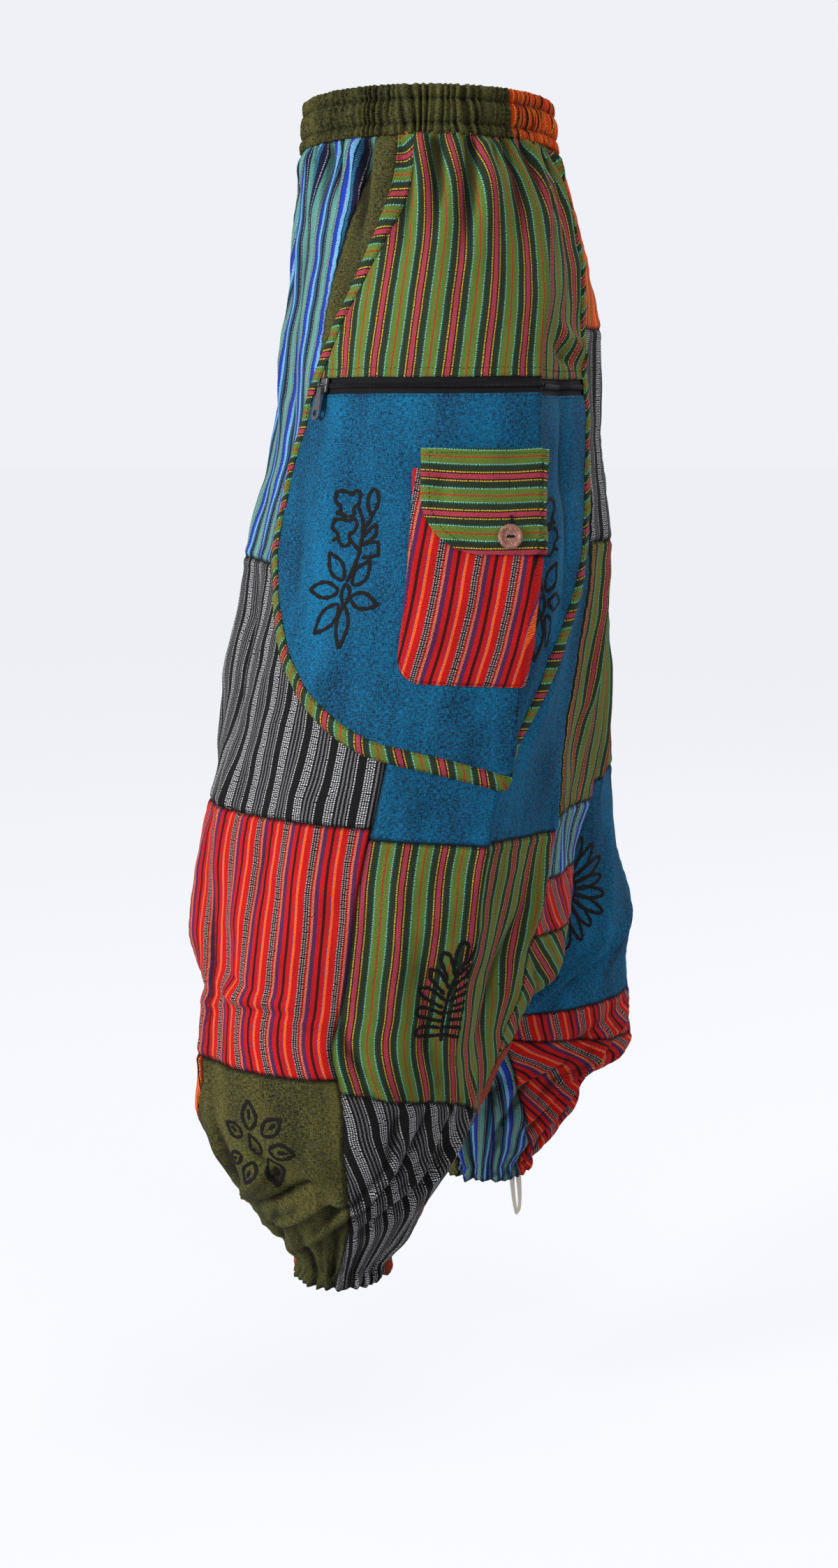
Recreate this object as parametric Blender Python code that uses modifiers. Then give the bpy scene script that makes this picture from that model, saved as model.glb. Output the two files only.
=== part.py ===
"""Patchwork harem trousers, worn form: two cloth legs with a drop crotch, a gathered waistband,
a bound side panel on each leg, and a zip, patch pocket, flap and button on the left one.

Metres. +X is the wearer's left, the front faces -Y, +Z is up, and the origin is the centre of the
waist opening. Each leg is one sheet: "round" runs from the front seam (0) round the outside to the
back seam (1), and "drop" is the depth below the waist. "across" is the distance in metres from the
storage crease down the outside of the leg, negative towards the front.
"""

import math

import bmesh
import bpy
import numpy as np
from mathutils import Matrix

# Cloth layers, as distances out of the leg's own surface.
WALL = 0.0012
SEAM_GAP = 0.0003
SIDE_GAP = 0.0008
MID_GAP = 0.0002
PANEL_LAYER = (0.0036, 0.0048)
BINDING_LAYER = (0.0034, 0.0054)
TAPE_LAYER = (0.0036, 0.0046)
COIL_LAYER = (0.0056, 0.0068)
POCKET_LAYER = (0.0062, 0.0074)
FLAP_LAYER = (0.0088, 0.0102)
BAND_LAYER = (-0.0012, 0.0018)

WAISTBAND_DEPTH = 0.035
CREASE_ROUND = 0.62
CREASE_MARGIN = 0.01
CROTCH_DROP = 0.740
FACET_ACROSS = 0.034
FACET_DOWN = 0.030
WIDEST_DROP = 0.60
RUNG_CLEARANCE = 0.004
CLOSED_WITHIN = 0.004
FRONT_EASE = 0.060
BACK_EASE = 0.030
MIDDLE_BEND_DEG = 60
FOLD_FADE_ROUND = 0.08
WAISTBAND_FACET = 0.020

SECTION_COLUMNS = (
    "drop", "centre_x", "centre_y", "half_x", "half_y", "front_turn", "back_turn",
    "front_x", "front_y", "back_x", "back_y", "crease", "ridge", "lift",
)
LEFT_SECTIONS = (
    (0.000, 0.000, 0.000, 0.135, 0.098, 90, 90, 0.000, -0.098, 0.000, 0.098, 0.72, 0.000, 0.00),
    (0.035, 0.000, 0.001, 0.140, 0.101, 90, 90, 0.000, -0.100, 0.000, 0.102, 0.72, 0.000, 0.00),
    (0.080, 0.000, 0.005, 0.160, 0.110, 90, 90, 0.000, -0.105, 0.000, 0.116, 0.71, 0.004, 0.00),
    (0.160, 0.002, 0.010, 0.186, 0.124, 91, 91, 0.000, -0.113, 0.000, 0.136, 0.66, 0.014, 0.00),
    (0.260, 0.014, 0.010, 0.203, 0.132, 94, 94, 0.000, -0.121, 0.000, 0.143, 0.618, 0.024, 0.00),
    (0.360, 0.036, 0.004, 0.190, 0.143, 100, 100, 0.000, -0.140, 0.000, 0.149, 0.611, 0.028, 0.02),
    (0.480, 0.072, -0.019, 0.160, 0.137, 112, 116, 0.000, -0.156, 0.000, 0.138, 0.617, 0.026, 0.05),
    (0.580, 0.098, -0.041, 0.136, 0.137, 128, 132, 0.000, -0.140, 0.000, 0.112, 0.622, 0.022, 0.08),
    (0.650, 0.112, -0.057, 0.120, 0.128, 150, 150, 0.000, -0.085, 0.000, 0.098, 0.645, 0.018, 0.08),
    (0.700, 0.116, -0.067, 0.112, 0.119, 168, 165, 0.000, -0.020, 0.000, 0.082, 0.672, 0.014, 0.07),
    (0.740, 0.118, -0.071, 0.110, 0.116, 180, 180, 0.000, 0.030, 0.000, 0.030, 0.690, 0.010, 0.05),
    (0.800, 0.120, -0.081, 0.107, 0.109, 180, 180, 0.015, 0.000, 0.015, 0.000, 0.730, 0.006, 0.02),
    (0.835, 0.122, -0.079, 0.100, 0.098, 180, 180, 0.024, -0.030, 0.024, -0.030, 0.730, 0.002, 0.01),
    (0.870, 0.123, -0.074, 0.080, 0.080, 180, 180, 0.045, -0.060, 0.045, -0.060, 0.720, 0.000, 0.00),
    (0.910, 0.124, -0.070, 0.054, 0.057, 180, 180, 0.070, -0.070, 0.070, -0.070, 0.700, 0.000, 0.00),
    (0.930, 0.124, -0.070, 0.042, 0.041, 180, 180, 0.082, -0.070, 0.082, -0.070, 0.690, 0.000, 0.00),
    (0.948, 0.125, -0.071, 0.038, 0.036, 180, 180, 0.087, -0.071, 0.087, -0.071, 0.680, 0.000, 0.00),
)
RIGHT_SECTIONS = (
    (0.000, 0.000, 0.000, 0.135, 0.098, 90, 90, 0.000, -0.098, 0.000, 0.098, 0.72, 0.000, 0.00),
    (0.035, 0.000, 0.001, 0.140, 0.101, 90, 90, 0.000, -0.100, 0.000, 0.102, 0.72, 0.000, 0.00),
    (0.080, 0.000, 0.005, 0.160, 0.110, 90, 90, 0.000, -0.105, 0.000, 0.116, 0.71, 0.003, 0.00),
    (0.160, 0.002, 0.010, 0.186, 0.124, 91, 91, 0.000, -0.113, 0.000, 0.136, 0.66, 0.010, 0.00),
    (0.260, 0.014, 0.011, 0.203, 0.133, 94, 94, 0.000, -0.121, 0.000, 0.143, 0.62, 0.016, 0.00),
    (0.360, 0.040, 0.012, 0.186, 0.140, 100, 100, 0.000, -0.140, 0.000, 0.149, 0.61, 0.020, 0.00),
    (0.480, 0.076, 0.023, 0.158, 0.144, 112, 116, 0.000, -0.156, 0.000, 0.138, 0.60, 0.018, 0.00),
    (0.580, 0.100, 0.034, 0.136, 0.137, 128, 132, 0.000, -0.140, 0.000, 0.112, 0.60, 0.014, 0.00),
    (0.650, 0.112, 0.048, 0.124, 0.131, 150, 150, 0.000, -0.085, 0.000, 0.098, 0.60, 0.010, 0.00),
    (0.700, 0.116, 0.057, 0.115, 0.127, 168, 165, 0.000, -0.020, 0.000, 0.082, 0.60, 0.010, 0.00),
    (0.740, 0.117, 0.060, 0.111, 0.124, 180, 180, 0.000, 0.030, 0.000, 0.030, 0.61, 0.008, 0.00),
    (0.785, 0.117, 0.062, 0.108, 0.120, 180, 180, 0.012, 0.040, 0.012, 0.040, 0.61, 0.006, 0.00),
    (0.815, 0.117, 0.066, 0.102, 0.113, 180, 180, 0.018, 0.050, 0.018, 0.050, 0.62, 0.002, 0.00),
    (0.832, 0.116, 0.060, 0.090, 0.082, 180, 180, 0.028, 0.055, 0.028, 0.055, 0.62, 0.000, 0.00),
    (0.865, 0.116, 0.058, 0.072, 0.070, 180, 180, 0.046, 0.057, 0.046, 0.057, 0.62, 0.000, 0.00),
    (0.900, 0.115, 0.056, 0.050, 0.056, 180, 180, 0.066, 0.056, 0.066, 0.056, 0.62, 0.000, 0.00),
    (0.918, 0.115, 0.054, 0.041, 0.041, 180, 180, 0.075, 0.054, 0.075, 0.054, 0.62, 0.000, 0.00),
    (0.936, 0.115, 0.0535, 0.037, 0.0345, 180, 180, 0.079, 0.0535, 0.079, 0.0535, 0.62, 0.000, 0.00),
)

# The largest folds: where each one lies, which way it runs, and how far it stands out or sinks in.
FOLD_COLUMNS = ("across", "drop", "half_width", "half_length", "lean_deg", "height")
LEFT_FOLDS = (
    (-0.215, 0.690, 0.016, 0.070, 3, -0.008),
    (-0.290, 0.640, 0.030, 0.090, 0, 0.006),
    (-0.130, 0.850, 0.014, 0.050, 62, -0.009),
    (-0.100, 0.815, 0.016, 0.050, 66, 0.008),
    (-0.045, 0.870, 0.012, 0.055, -38, -0.007),
    (-0.005, 0.855, 0.014, 0.055, -42, 0.006),
    (-0.180, 0.700, 0.011, 0.060, 86, 0.004),
    (0.060, 0.455, 0.016, 0.060, -20, 0.008),
    (-0.400, 0.450, 0.026, 0.140, 4, -0.007),
    (0.170, 0.560, 0.026, 0.100, 14, -0.007),
)
RIGHT_FOLDS = (
    (-0.060, 0.835, 0.016, 0.070, 58, 0.009),
    (0.040, 0.800, 0.015, 0.060, 72, 0.007),
    (-0.130, 0.820, 0.018, 0.060, 50, -0.008),
    (0.080, 0.640, 0.022, 0.110, -12, -0.006),
    (-0.190, 0.600, 0.028, 0.130, 6, 0.006),
    (0.150, 0.470, 0.024, 0.120, 8, -0.006),
    (-0.300, 0.480, 0.026, 0.120, -5, -0.007),
)

# Outline of the bound side panel as (across, drop): down its front edge to the tip on the crease,
# and up its back edge.
FRONT_OUTLINE = (
    (-0.105, 0.0355),
    (-0.122, 0.080),
    (-0.153, 0.140),
    (-0.180, 0.190),
    (-0.208, 0.235),
    (-0.230, 0.280),
    (-0.239, 0.335),
    (-0.235, 0.380),
    (-0.208, 0.426),
    (-0.165, 0.472),
    (-0.115, 0.500),
    (-0.055, 0.512),
    (0.0, 0.523),
)
BACK_OUTLINE = (
    (0.0, 0.523),
    (0.036, 0.474),
    (0.066, 0.426),
    (0.088, 0.382),
    (0.100, 0.330),
    (0.105, 0.270),
    (0.098, 0.205),
    (0.084, 0.140),
    (0.072, 0.0355),
)
OUTLINE_COUNT = 46
TIP = 25
TIP_EASE = 0.012
PANEL_FRONT_STEPS = 7
PANEL_BACK_STEPS = 4
UPPER_PANEL_ROWS = 8
LOWER_PANEL_ROWS = 10
BINDING_WIDTH = 0.013
BINDING_GAP = 0.0022
ZIP_TOP_DROP = 0.2205
ZIP_HEIGHT = 0.0135
COIL_HEIGHT = 0.0050

FRAME_STEP = 0.002

POCKET_LEFT = -0.093
POCKET_TOP = 0.288
POCKET_BOTTOM = 0.446
POCKET_CORNER = 0.020
POCKET_ROWS = 6
POCKET_STEPS = 4
WRAP_BEHIND_CREASE = 0.012
FLAP_LEFT = -0.086
FLAP_TOP = 0.274
FLAP_BOTTOM = 0.350
FLAP_CORNER = 0.046

BUTTON_RADIUS = 0.0092
BUTTON_THICKNESS = 0.0030
BUTTON_ACROSS = -0.021
BUTTON_DROP = 0.337
BUTTON_STANDOFF = 0.0004
BUTTON_HOLE_RADIUS = 0.0011
BUTTON_HOLE_SPACING = 0.0040
BUTTON_STEPS = 28
# The button's section, from its dished middle over the rim to its back, as shares of radius and thickness.
BUTTON_PROFILE = (
    (0.0, 0.72), (0.62, 0.72), (0.74, 1.0), (0.90, 1.0), (1.0, 0.62), (1.0, 0.30), (0.88, 0.0), (0.0, 0.0),
)
CUTTER_SIZE = 0.02
WELD_WITHIN = 0.00001

SLIDER_ACROSS = -0.176
SLIDER_SIZE = (0.0075, 0.0110, 0.0024)
SLIDER_BEVEL = 0.0006
BRIDGE_RADIUS = 0.0030
BRIDGE_WIRE = 0.0006
BRIDGE_SEAT = 0.9
BELOW_BRIDGE = 0.0040
RING_RADIUS = 0.0019
RING_WIRE = 0.0005
RING_HANG = 0.0005
PULL_LENGTH = 0.0250
PULL_TOP_WIDTH = 0.0044
PULL_BOTTOM_WIDTH = 0.0100
PULL_THICKNESS = 0.0014
PULL_HOLE_RADIUS = 0.0026
PULL_SHOULDER = (0.0004, 0.0040)

LOOP_WIRE = 0.0016
LOOP_POINTS = (
    (-0.006, 0.010), (-0.006, -0.002), (-0.004, -0.016), (0.000, -0.030), (0.004, -0.037),
    (0.009, -0.035), (0.010, -0.026), (0.009, -0.014), (0.007, -0.002), (0.006, 0.010),
)
LOOP_ROUND_DEG = 62
LOOP_INSET = 0.0060

COLOURS = {
    "green_stripe": (0.20, 0.23, 0.08),
    "red_stripe": (0.40, 0.06, 0.06),
    "grey_stripe": (0.09, 0.09, 0.10),
    "blue_cotton": (0.02, 0.15, 0.33),
    "olive_cotton": (0.09, 0.10, 0.04),
    "orange_stripe": (0.55, 0.14, 0.03),
    "blue_stripe": (0.08, 0.30, 0.40),
    "rust_cotton": (0.32, 0.10, 0.03),
    "zip_black": (0.01, 0.01, 0.012),
    "gunmetal": (0.10, 0.10, 0.11),
    "coconut": (0.16, 0.09, 0.05),
    "cream_tape": (0.70, 0.64, 0.50),
}


def smooth_step(value):
    value = np.clip(value, 0.0, 1.0)
    return value * value * (3 - 2 * value)


def through(xs, ys, x):
    """A smooth curve through the rows of a table that does not overshoot them."""
    step = np.diff(xs)
    slope = np.diff(ys) / step
    tangent = np.empty_like(ys)
    product = slope[:-1] * slope[1:]
    total = np.where(np.abs(slope[:-1] + slope[1:]) < 1e-12, 1.0, slope[:-1] + slope[1:])
    tangent[1:-1] = np.where(product > 0, 2 * product / total, 0.0)
    tangent[0] = slope[0]
    tangent[-1] = slope[-1]
    k = np.clip(np.searchsorted(xs, x) - 1, 0, len(xs) - 2)
    t = (x - xs[k]) / step[k]
    start = (2 * t**3 - 3 * t**2 + 1) * ys[k] + (t**3 - 2 * t**2 + t) * step[k] * tangent[k]
    end = (3 * t**2 - 2 * t**3) * ys[k + 1] + (t**3 - t**2) * step[k] * tangent[k + 1]
    return start + end


def arc_share(x, y):
    run = np.concatenate([[0.0], np.cumsum(np.hypot(np.diff(x), np.diff(y)))])
    return run / run[-1], run[-1]


class Leg:
    """One leg's cloth surface, read at (round, drop) or at (across, drop)."""

    ROWS = 161
    STEPS = 361

    def __init__(self, sections, folds, side):
        self.side = side
        table = np.array(sections, float)
        self.length = table[-1, 0]
        self.drops = np.linspace(0.0, self.length, self.ROWS)
        column = {
            name: through(table[:, 0], table[:, i], self.drops)
            for i, name in enumerate(SECTION_COLUMNS)
        }
        joined = self.drops >= CROTCH_DROP
        for back, front in (("back_x", "front_x"), ("back_y", "front_y")):
            column[back] = np.where(joined, column[front], column[back])
        self.crease = column["crease"]
        self.girth = np.empty(self.ROWS)
        self.points = np.empty((self.ROWS, self.STEPS, 3))
        for row in range(self.ROWS):
            here = {name: values[row] for name, values in column.items()}
            self.points[row], self.girth[row] = self.ring(here)
        self.normals = self.find_normals()
        self.fold(folds)
        self.normals = self.find_normals()

    def ring(self, row):
        front = math.radians(row["front_turn"])
        back = math.radians(row["back_turn"])
        turn = np.linspace(-front, back, self.STEPS)
        x = row["centre_x"] + row["half_x"] * np.cos(turn)
        y = row["centre_y"] + row["half_y"] * np.sin(turn)
        bend = math.radians(MIDDLE_BEND_DEG)
        to_front = smooth_step((-turn - bend) / (front - bend))
        to_back = smooth_step((turn - bend) / (back - bend))
        start_x, start_y, end_x, end_y = x[0], y[0], x[-1], y[-1]
        x = x + to_front * (row["front_x"] - start_x) + to_back * (row["back_x"] - end_x)
        y = y + to_front * (row["front_y"] - start_y) + to_back * (row["back_y"] - end_y)
        share, girth = arc_share(x, y)
        from_crease = (share - row["crease"]) * girth
        ridge = row["ridge"] * np.where(
            from_crease < 0, np.exp(from_crease / FRONT_EASE), np.exp(-from_crease / BACK_EASE)
        )
        along_x, along_y = np.gradient(x), np.gradient(y)
        size = np.hypot(along_x, along_y)
        x = x + ridge * along_y / size
        y = y - ridge * along_x / size
        share, girth = arc_share(x, y)
        z = -row["drop"] - row["lift"] * (y - row["centre_y"])
        wanted = np.linspace(0.0, 1.0, self.STEPS)
        wanted = np.interp(wanted, [0.0, CREASE_ROUND, 1.0], [0.0, row["crease"], 1.0])
        x, y, z = (np.interp(wanted, share, values) for values in (x, y, z))
        return np.stack([self.side * x, y, z], axis=1), girth

    def find_normals(self):
        normal = np.cross(np.gradient(self.points, axis=0), np.gradient(self.points, axis=1))
        normal *= self.side / np.linalg.norm(normal, axis=2, keepdims=True)
        closed = np.linalg.norm(self.points[:, 0] - self.points[:, -1], axis=1) < CLOSED_WITHIN
        shared = normal[closed, 0] + normal[closed, -1]
        shared /= np.linalg.norm(shared, axis=1, keepdims=True)
        normal[closed, 0] = shared
        normal[closed, -1] = shared
        return normal

    def fold(self, folds):
        """Moves the surface out or in along each fold's own ridge line."""
        round_, drop = np.meshgrid(np.linspace(0, 1, self.STEPS), self.drops)
        across = self.across_of(round_, drop)
        height = np.zeros_like(across)
        for row in folds:
            fold = dict(zip(FOLD_COLUMNS, row))
            lean = math.radians(fold["lean_deg"])
            du = across - fold["across"]
            dv = drop - fold["drop"]
            along = du * math.sin(lean) + dv * math.cos(lean)
            aside = du * math.cos(lean) - dv * math.sin(lean)
            shape = np.exp(-(aside / fold["half_width"]) ** 2 - (along / fold["half_length"]) ** 2)
            height += fold["height"] * shape
        height *= smooth_step(round_ / FOLD_FADE_ROUND) * smooth_step((1 - round_) / FOLD_FADE_ROUND)
        self.points = self.points + height[..., None] * self.normals

    def across_of(self, round_, drop):
        girth = np.interp(drop, self.drops, self.girth)
        crease = np.interp(drop, self.drops, self.crease)
        share = np.interp(round_, [0.0, CREASE_ROUND], [0.0, 1.0]) * crease
        share = share + np.interp(round_, [CREASE_ROUND, 1.0], [0.0, 1.0]) * (1 - crease)
        return (share - crease) * girth

    def round_of(self, across, drop):
        girth = np.interp(drop, self.drops, self.girth)
        crease = np.interp(drop, self.drops, self.crease)
        share = across / girth
        before = CREASE_ROUND * (1 + share / crease)
        after = CREASE_ROUND + (1 - CREASE_ROUND) * share / (1 - crease)
        return np.where(across < 0, before, after)

    def sample(self, table, round_, drop):
        row = np.clip(drop / self.length * (self.ROWS - 1), 0, self.ROWS - 1.0001)
        step = np.clip(round_ * (self.STEPS - 1), 0, self.STEPS - 1.0001)
        i, j = row.astype(int), step.astype(int)
        a, b = (row - i)[..., None], (step - j)[..., None]
        above = table[i, j] * (1 - b) + table[i, j + 1] * b
        below = table[i + 1, j] * (1 - b) + table[i + 1, j + 1] * b
        return above * (1 - a) + below * a

    def at(self, round_, drop, out=0.0):
        """Points of the leg's surface, moved out by a distance and kept on its own side of the middle."""
        round_, drop = np.broadcast_arrays(np.asarray(round_, float), np.asarray(drop, float))
        normal = self.sample(self.normals, round_, drop)
        normal = normal / np.linalg.norm(normal, axis=-1, keepdims=True)
        points = self.sample(self.points, round_, drop) + np.asarray(out)[..., None] * normal
        points[..., 0] = self.side * np.maximum(self.side * points[..., 0], MID_GAP)
        return points

    def on(self, across, drop, out=0.0):
        return self.at(self.round_of(across, drop), drop, out)


def clear_scene():
    for old in list(bpy.data.objects):
        bpy.data.objects.remove(old, do_unlink=True)


def new_collection(name):
    collection = bpy.data.collections.new(name)
    bpy.context.scene.collection.children.link(collection)
    return collection


def material(name):
    found = bpy.data.materials.get(name)
    if found:
        return found
    made = bpy.data.materials.new(name)
    made.use_nodes = True
    shader = made.node_tree.nodes["Principled BSDF"]
    shader.inputs["Base Color"].default_value = (*COLOURS[name], 1.0)
    shader.inputs["Roughness"].default_value = 0.35 if name in ("gunmetal", "coconut") else 0.9
    shader.inputs["Metallic"].default_value = 1.0 if name == "gunmetal" else 0.0
    return made


def add_mesh(name, mesh, finish, collection):
    obj = bpy.data.objects.new(name, mesh)
    mesh.materials.append(material(finish))
    collection.objects.link(obj)
    return obj


def wall(name, outer, inner, finish, closed_round=False):
    """A cloth wall lofted between two grids of points that match one to one."""
    rows, columns = outer.shape[:2]
    shell = bmesh.new()
    skins = [[[shell.verts.new(p) for p in line] for line in grid] for grid in (outer, inner)]
    wrap = columns if closed_round else columns - 1
    for skin in skins:
        for i in range(rows - 1):
            for j in range(wrap):
                k = (j + 1) % columns
                shell.faces.new((skin[i][j], skin[i][k], skin[i + 1][k], skin[i + 1][j]))
    out_skin, in_skin = skins
    for i in (0, rows - 1):
        for j in range(wrap):
            k = (j + 1) % columns
            shell.faces.new((out_skin[i][j], out_skin[i][k], in_skin[i][k], in_skin[i][j]))
    if not closed_round:
        for j in (0, columns - 1):
            for i in range(rows - 1):
                shell.faces.new((out_skin[i][j], out_skin[i + 1][j], in_skin[i + 1][j], in_skin[i][j]))
    bmesh.ops.recalc_face_normals(shell, faces=shell.faces)
    mesh = bpy.data.meshes.new(name)
    shell.to_mesh(mesh)
    shell.free()
    mesh.shade_smooth()
    mesh.set_sharp_from_angle(angle=math.radians(50))
    return add_mesh(name, mesh, finish, parts)


def steps_for(length, facet):
    return max(1, round(length / facet))


def columns_between(left, right, length):
    """Shares across a patch, with one of them on the crease where the patch crosses it."""
    if not left < CREASE_ROUND - CREASE_MARGIN < right - 2 * CREASE_MARGIN:
        return [(0, share) for share in np.linspace(0, 1, steps_for(length, FACET_ACROSS) + 1)]
    before = steps_for(length * (CREASE_ROUND - left) / (right - left), FACET_ACROSS)
    after = steps_for(length * (right - CREASE_ROUND) / (right - left), FACET_ACROSS)
    front_columns = [(-1, share) for share in np.linspace(0, 1, before + 1)]
    return front_columns + [(1, share) for share in np.linspace(0, 1, after + 1)[1:]]


def seam_round(seam, drop):
    """Where a seam that runs down the leg lies at each depth."""
    table = np.array(seam, float)
    return through(table[:, 0], table[:, 1], drop)


def shared_rungs(top, bottom):
    """Depths between two edges at which every patch has a row, so that neighbours share their facets."""
    rungs = np.arange(math.ceil(top / FACET_DOWN), bottom / FACET_DOWN) * FACET_DOWN
    return rungs[(rungs > top + RUNG_CLEARANCE) & (rungs < bottom - RUNG_CLEARANCE)]


def edge_depths(top, bottom, count):
    """The shared rungs down one edge, with spare rows above the first one."""
    rungs = shared_rungs(top, bottom)
    first = rungs[0] if len(rungs) else bottom
    head = np.linspace(top, first, count - len(rungs) + 2)[:-1]
    return np.concatenate([head, rungs, [bottom]])


def leg_patch(leg, name, finish, left, right, top, bottom):
    """One patch of the leg: left and right are seams, top and bottom are its depths at those two."""
    start, end = (float(seam_round(seam, WIDEST_DROP)) for seam in (left, right))
    girth = float(np.interp(WIDEST_DROP, leg.drops, leg.girth))
    columns = columns_between(start, end, (end - start) * girth)
    highs = [depth + SEAM_GAP / 2 for depth in top]
    lows = [depth - SEAM_GAP / 2 for depth in bottom]
    count = max(len(shared_rungs(high, low)) for high, low in zip(highs, lows))
    left_depths, right_depths = (edge_depths(high, low, count) for high, low in zip(highs, lows))
    round_ = np.empty((len(left_depths), len(columns)))
    drop = np.empty_like(round_)
    for i in range(len(left_depths)):
        for j, (part, share) in enumerate(columns):
            drop[i, j] = left_depths[i] + (right_depths[i] - left_depths[i]) * j / (len(columns) - 1)
            here = float(np.interp(drop[i, j], leg.drops, leg.girth))
            start = float(seam_round(left, drop[i, j])) + SIDE_GAP / 2 / here
            end = float(seam_round(right, drop[i, j])) - SIDE_GAP / 2 / here
            if part:
                start, end = (start, CREASE_ROUND) if part < 0 else (CREASE_ROUND, end)
            round_[i, j] = start + (end - start) * share
    return wall(name, leg.at(round_, drop), leg.at(round_, drop, -WALL), finish)


# Seams that run down each leg, as rows of drop and round.
FRONT = ((0.0, 0.0), (1.0, 0.0))
BACK = ((0.0, 1.0), (1.0, 1.0))
LEFT_WEDGE = (
    (0.035, 0.345), (0.060, 0.322), (0.090, 0.304), (0.120, 0.288), (0.150, 0.275), (0.180, 0.268),
    (0.215, 0.275), (0.250, 0.330), (0.290, 0.420), (0.330, 0.470), (1.0, 0.470),
)
LEFT_SIDE = ((0.035, 0.483), (0.60, 0.480), (0.75, 0.497), (0.83, 0.480), (0.95, 0.450))
LEFT_FRONT = ((0.0, 0.345), (0.770, 0.345), (0.795, 0.320), (0.820, 0.280), (0.850, 0.245), (1.0, 0.225))
LEFT_REAR = ((0.0, 0.80), (0.53, 0.80), (0.70, 0.785), (0.78, 0.745), (0.85, 0.700), (0.95, 0.670))
RIGHT_SIDE = ((0.0, 0.40), (0.60, 0.40), (0.95, 0.34))
RIGHT_REAR = ((0.0, 0.80), (0.50, 0.80), (0.60, 0.78), (0.75, 0.74), (0.82, 0.73), (0.95, 0.72))
RIGHT_INNER = ((0.78, 0.967), (0.82, 0.962), (0.868, 0.930), (0.918, 0.870), (0.95, 0.855))
RIGHT_TUCK = ((0.80, 0.14), (0.95, 0.14))

# Patches: name, cloth, seam on the front side, seam on the back side, and the depths at those two
# seams of the top edge and of the bottom edge.
PATCH_COLUMNS = ("name", "cloth", "left", "right", "top", "bottom")
LEFT_PATCHES = (
    ("left_front_blue_stripe", "blue_stripe", FRONT, LEFT_WEDGE, (0.035, 0.035), (0.366, 0.366)),
    ("left_front_olive_strip", "olive_cotton", LEFT_WEDGE, LEFT_SIDE, (0.035, 0.035), (0.366, 0.366)),
    ("left_front_grey", "grey_stripe", FRONT, LEFT_SIDE, (0.366, 0.366), (0.568, 0.557)),
    ("left_front_red", "red_stripe", FRONT, LEFT_SIDE, (0.568, 0.557), (0.756, 0.756)),
    ("left_front_orange", "orange_stripe", FRONT, LEFT_FRONT, (0.756, 0.756), (0.948, 0.948)),
    ("left_front_olive", "olive_cotton", LEFT_FRONT, LEFT_SIDE, (0.756, 0.756), (0.948, 0.948)),
    ("left_side_blue", "blue_cotton", LEFT_SIDE, LEFT_REAR, (0.035, 0.035), (0.565, 0.565)),
    ("left_side_green", "green_stripe", LEFT_SIDE, LEFT_REAR, (0.565, 0.565), (0.765, 0.810)),
    ("left_side_grey", "grey_stripe", LEFT_SIDE, LEFT_REAR, (0.765, 0.810), (0.948, 0.948)),
    ("left_back_orange", "orange_stripe", LEFT_REAR, BACK, (0.035, 0.035), (0.180, 0.180)),
    ("left_back_grey", "grey_stripe", LEFT_REAR, BACK, (0.180, 0.180), (0.345, 0.345)),
    ("left_back_green", "green_stripe", LEFT_REAR, BACK, (0.345, 0.345), (0.555, 0.551)),
    ("left_back_blue_stripe", "blue_stripe", LEFT_REAR, BACK, (0.555, 0.551), (0.606, 0.606)),
    ("left_back_red", "red_stripe", LEFT_REAR, BACK, (0.606, 0.606), (0.656, 0.652)),
    ("left_crotch_green", "green_stripe", LEFT_REAR, BACK, (0.656, 0.652), (0.765, 0.755)),
    ("left_back_rust", "rust_cotton", LEFT_REAR, BACK, (0.765, 0.755), (0.948, 0.948)),
)
RIGHT_PATCHES = (
    ("right_front_grey", "grey_stripe", FRONT, RIGHT_SIDE, (0.035, 0.035), (0.300, 0.300)),
    ("right_front_red", "red_stripe", FRONT, RIGHT_SIDE, (0.300, 0.300), (0.560, 0.545)),
    ("right_front_green", "green_stripe", FRONT, RIGHT_SIDE, (0.560, 0.545), (0.840, 0.838)),
    ("right_front_blue_stripe", "blue_stripe", FRONT, RIGHT_TUCK, (0.840, 0.840), (0.936, 0.936)),
    ("right_front_olive", "olive_cotton", RIGHT_TUCK, RIGHT_SIDE, (0.840, 0.838), (0.936, 0.936)),
    ("right_side_green", "green_stripe", RIGHT_SIDE, RIGHT_REAR, (0.035, 0.035), (0.545, 0.556)),
    ("right_side_blue_stripe", "blue_stripe", RIGHT_SIDE, RIGHT_REAR, (0.545, 0.556), (0.822, 0.816)),
    ("right_side_orange", "orange_stripe", RIGHT_SIDE, RIGHT_REAR, (0.822, 0.816), (0.936, 0.936)),
    ("right_back_orange", "orange_stripe", RIGHT_REAR, BACK, (0.035, 0.035), (0.200, 0.200)),
    ("right_back_olive", "olive_cotton", RIGHT_REAR, BACK, (0.200, 0.200), (0.345, 0.345)),
    ("right_back_green", "green_stripe", RIGHT_REAR, BACK, (0.345, 0.345), (0.556, 0.566)),
    ("right_back_blue", "blue_cotton", RIGHT_REAR, BACK, (0.556, 0.566), (0.764, 0.764)),
    ("right_back_red", "red_stripe", RIGHT_REAR, BACK, (0.764, 0.764), (0.806, 0.784)),
    ("right_lower_red", "red_stripe", RIGHT_REAR, RIGHT_INNER, (0.806, 0.787), (0.936, 0.936)),
    ("right_inner_blue_stripe", "blue_stripe", RIGHT_INNER, BACK, (0.787, 0.784), (0.936, 0.936)),
)


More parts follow.
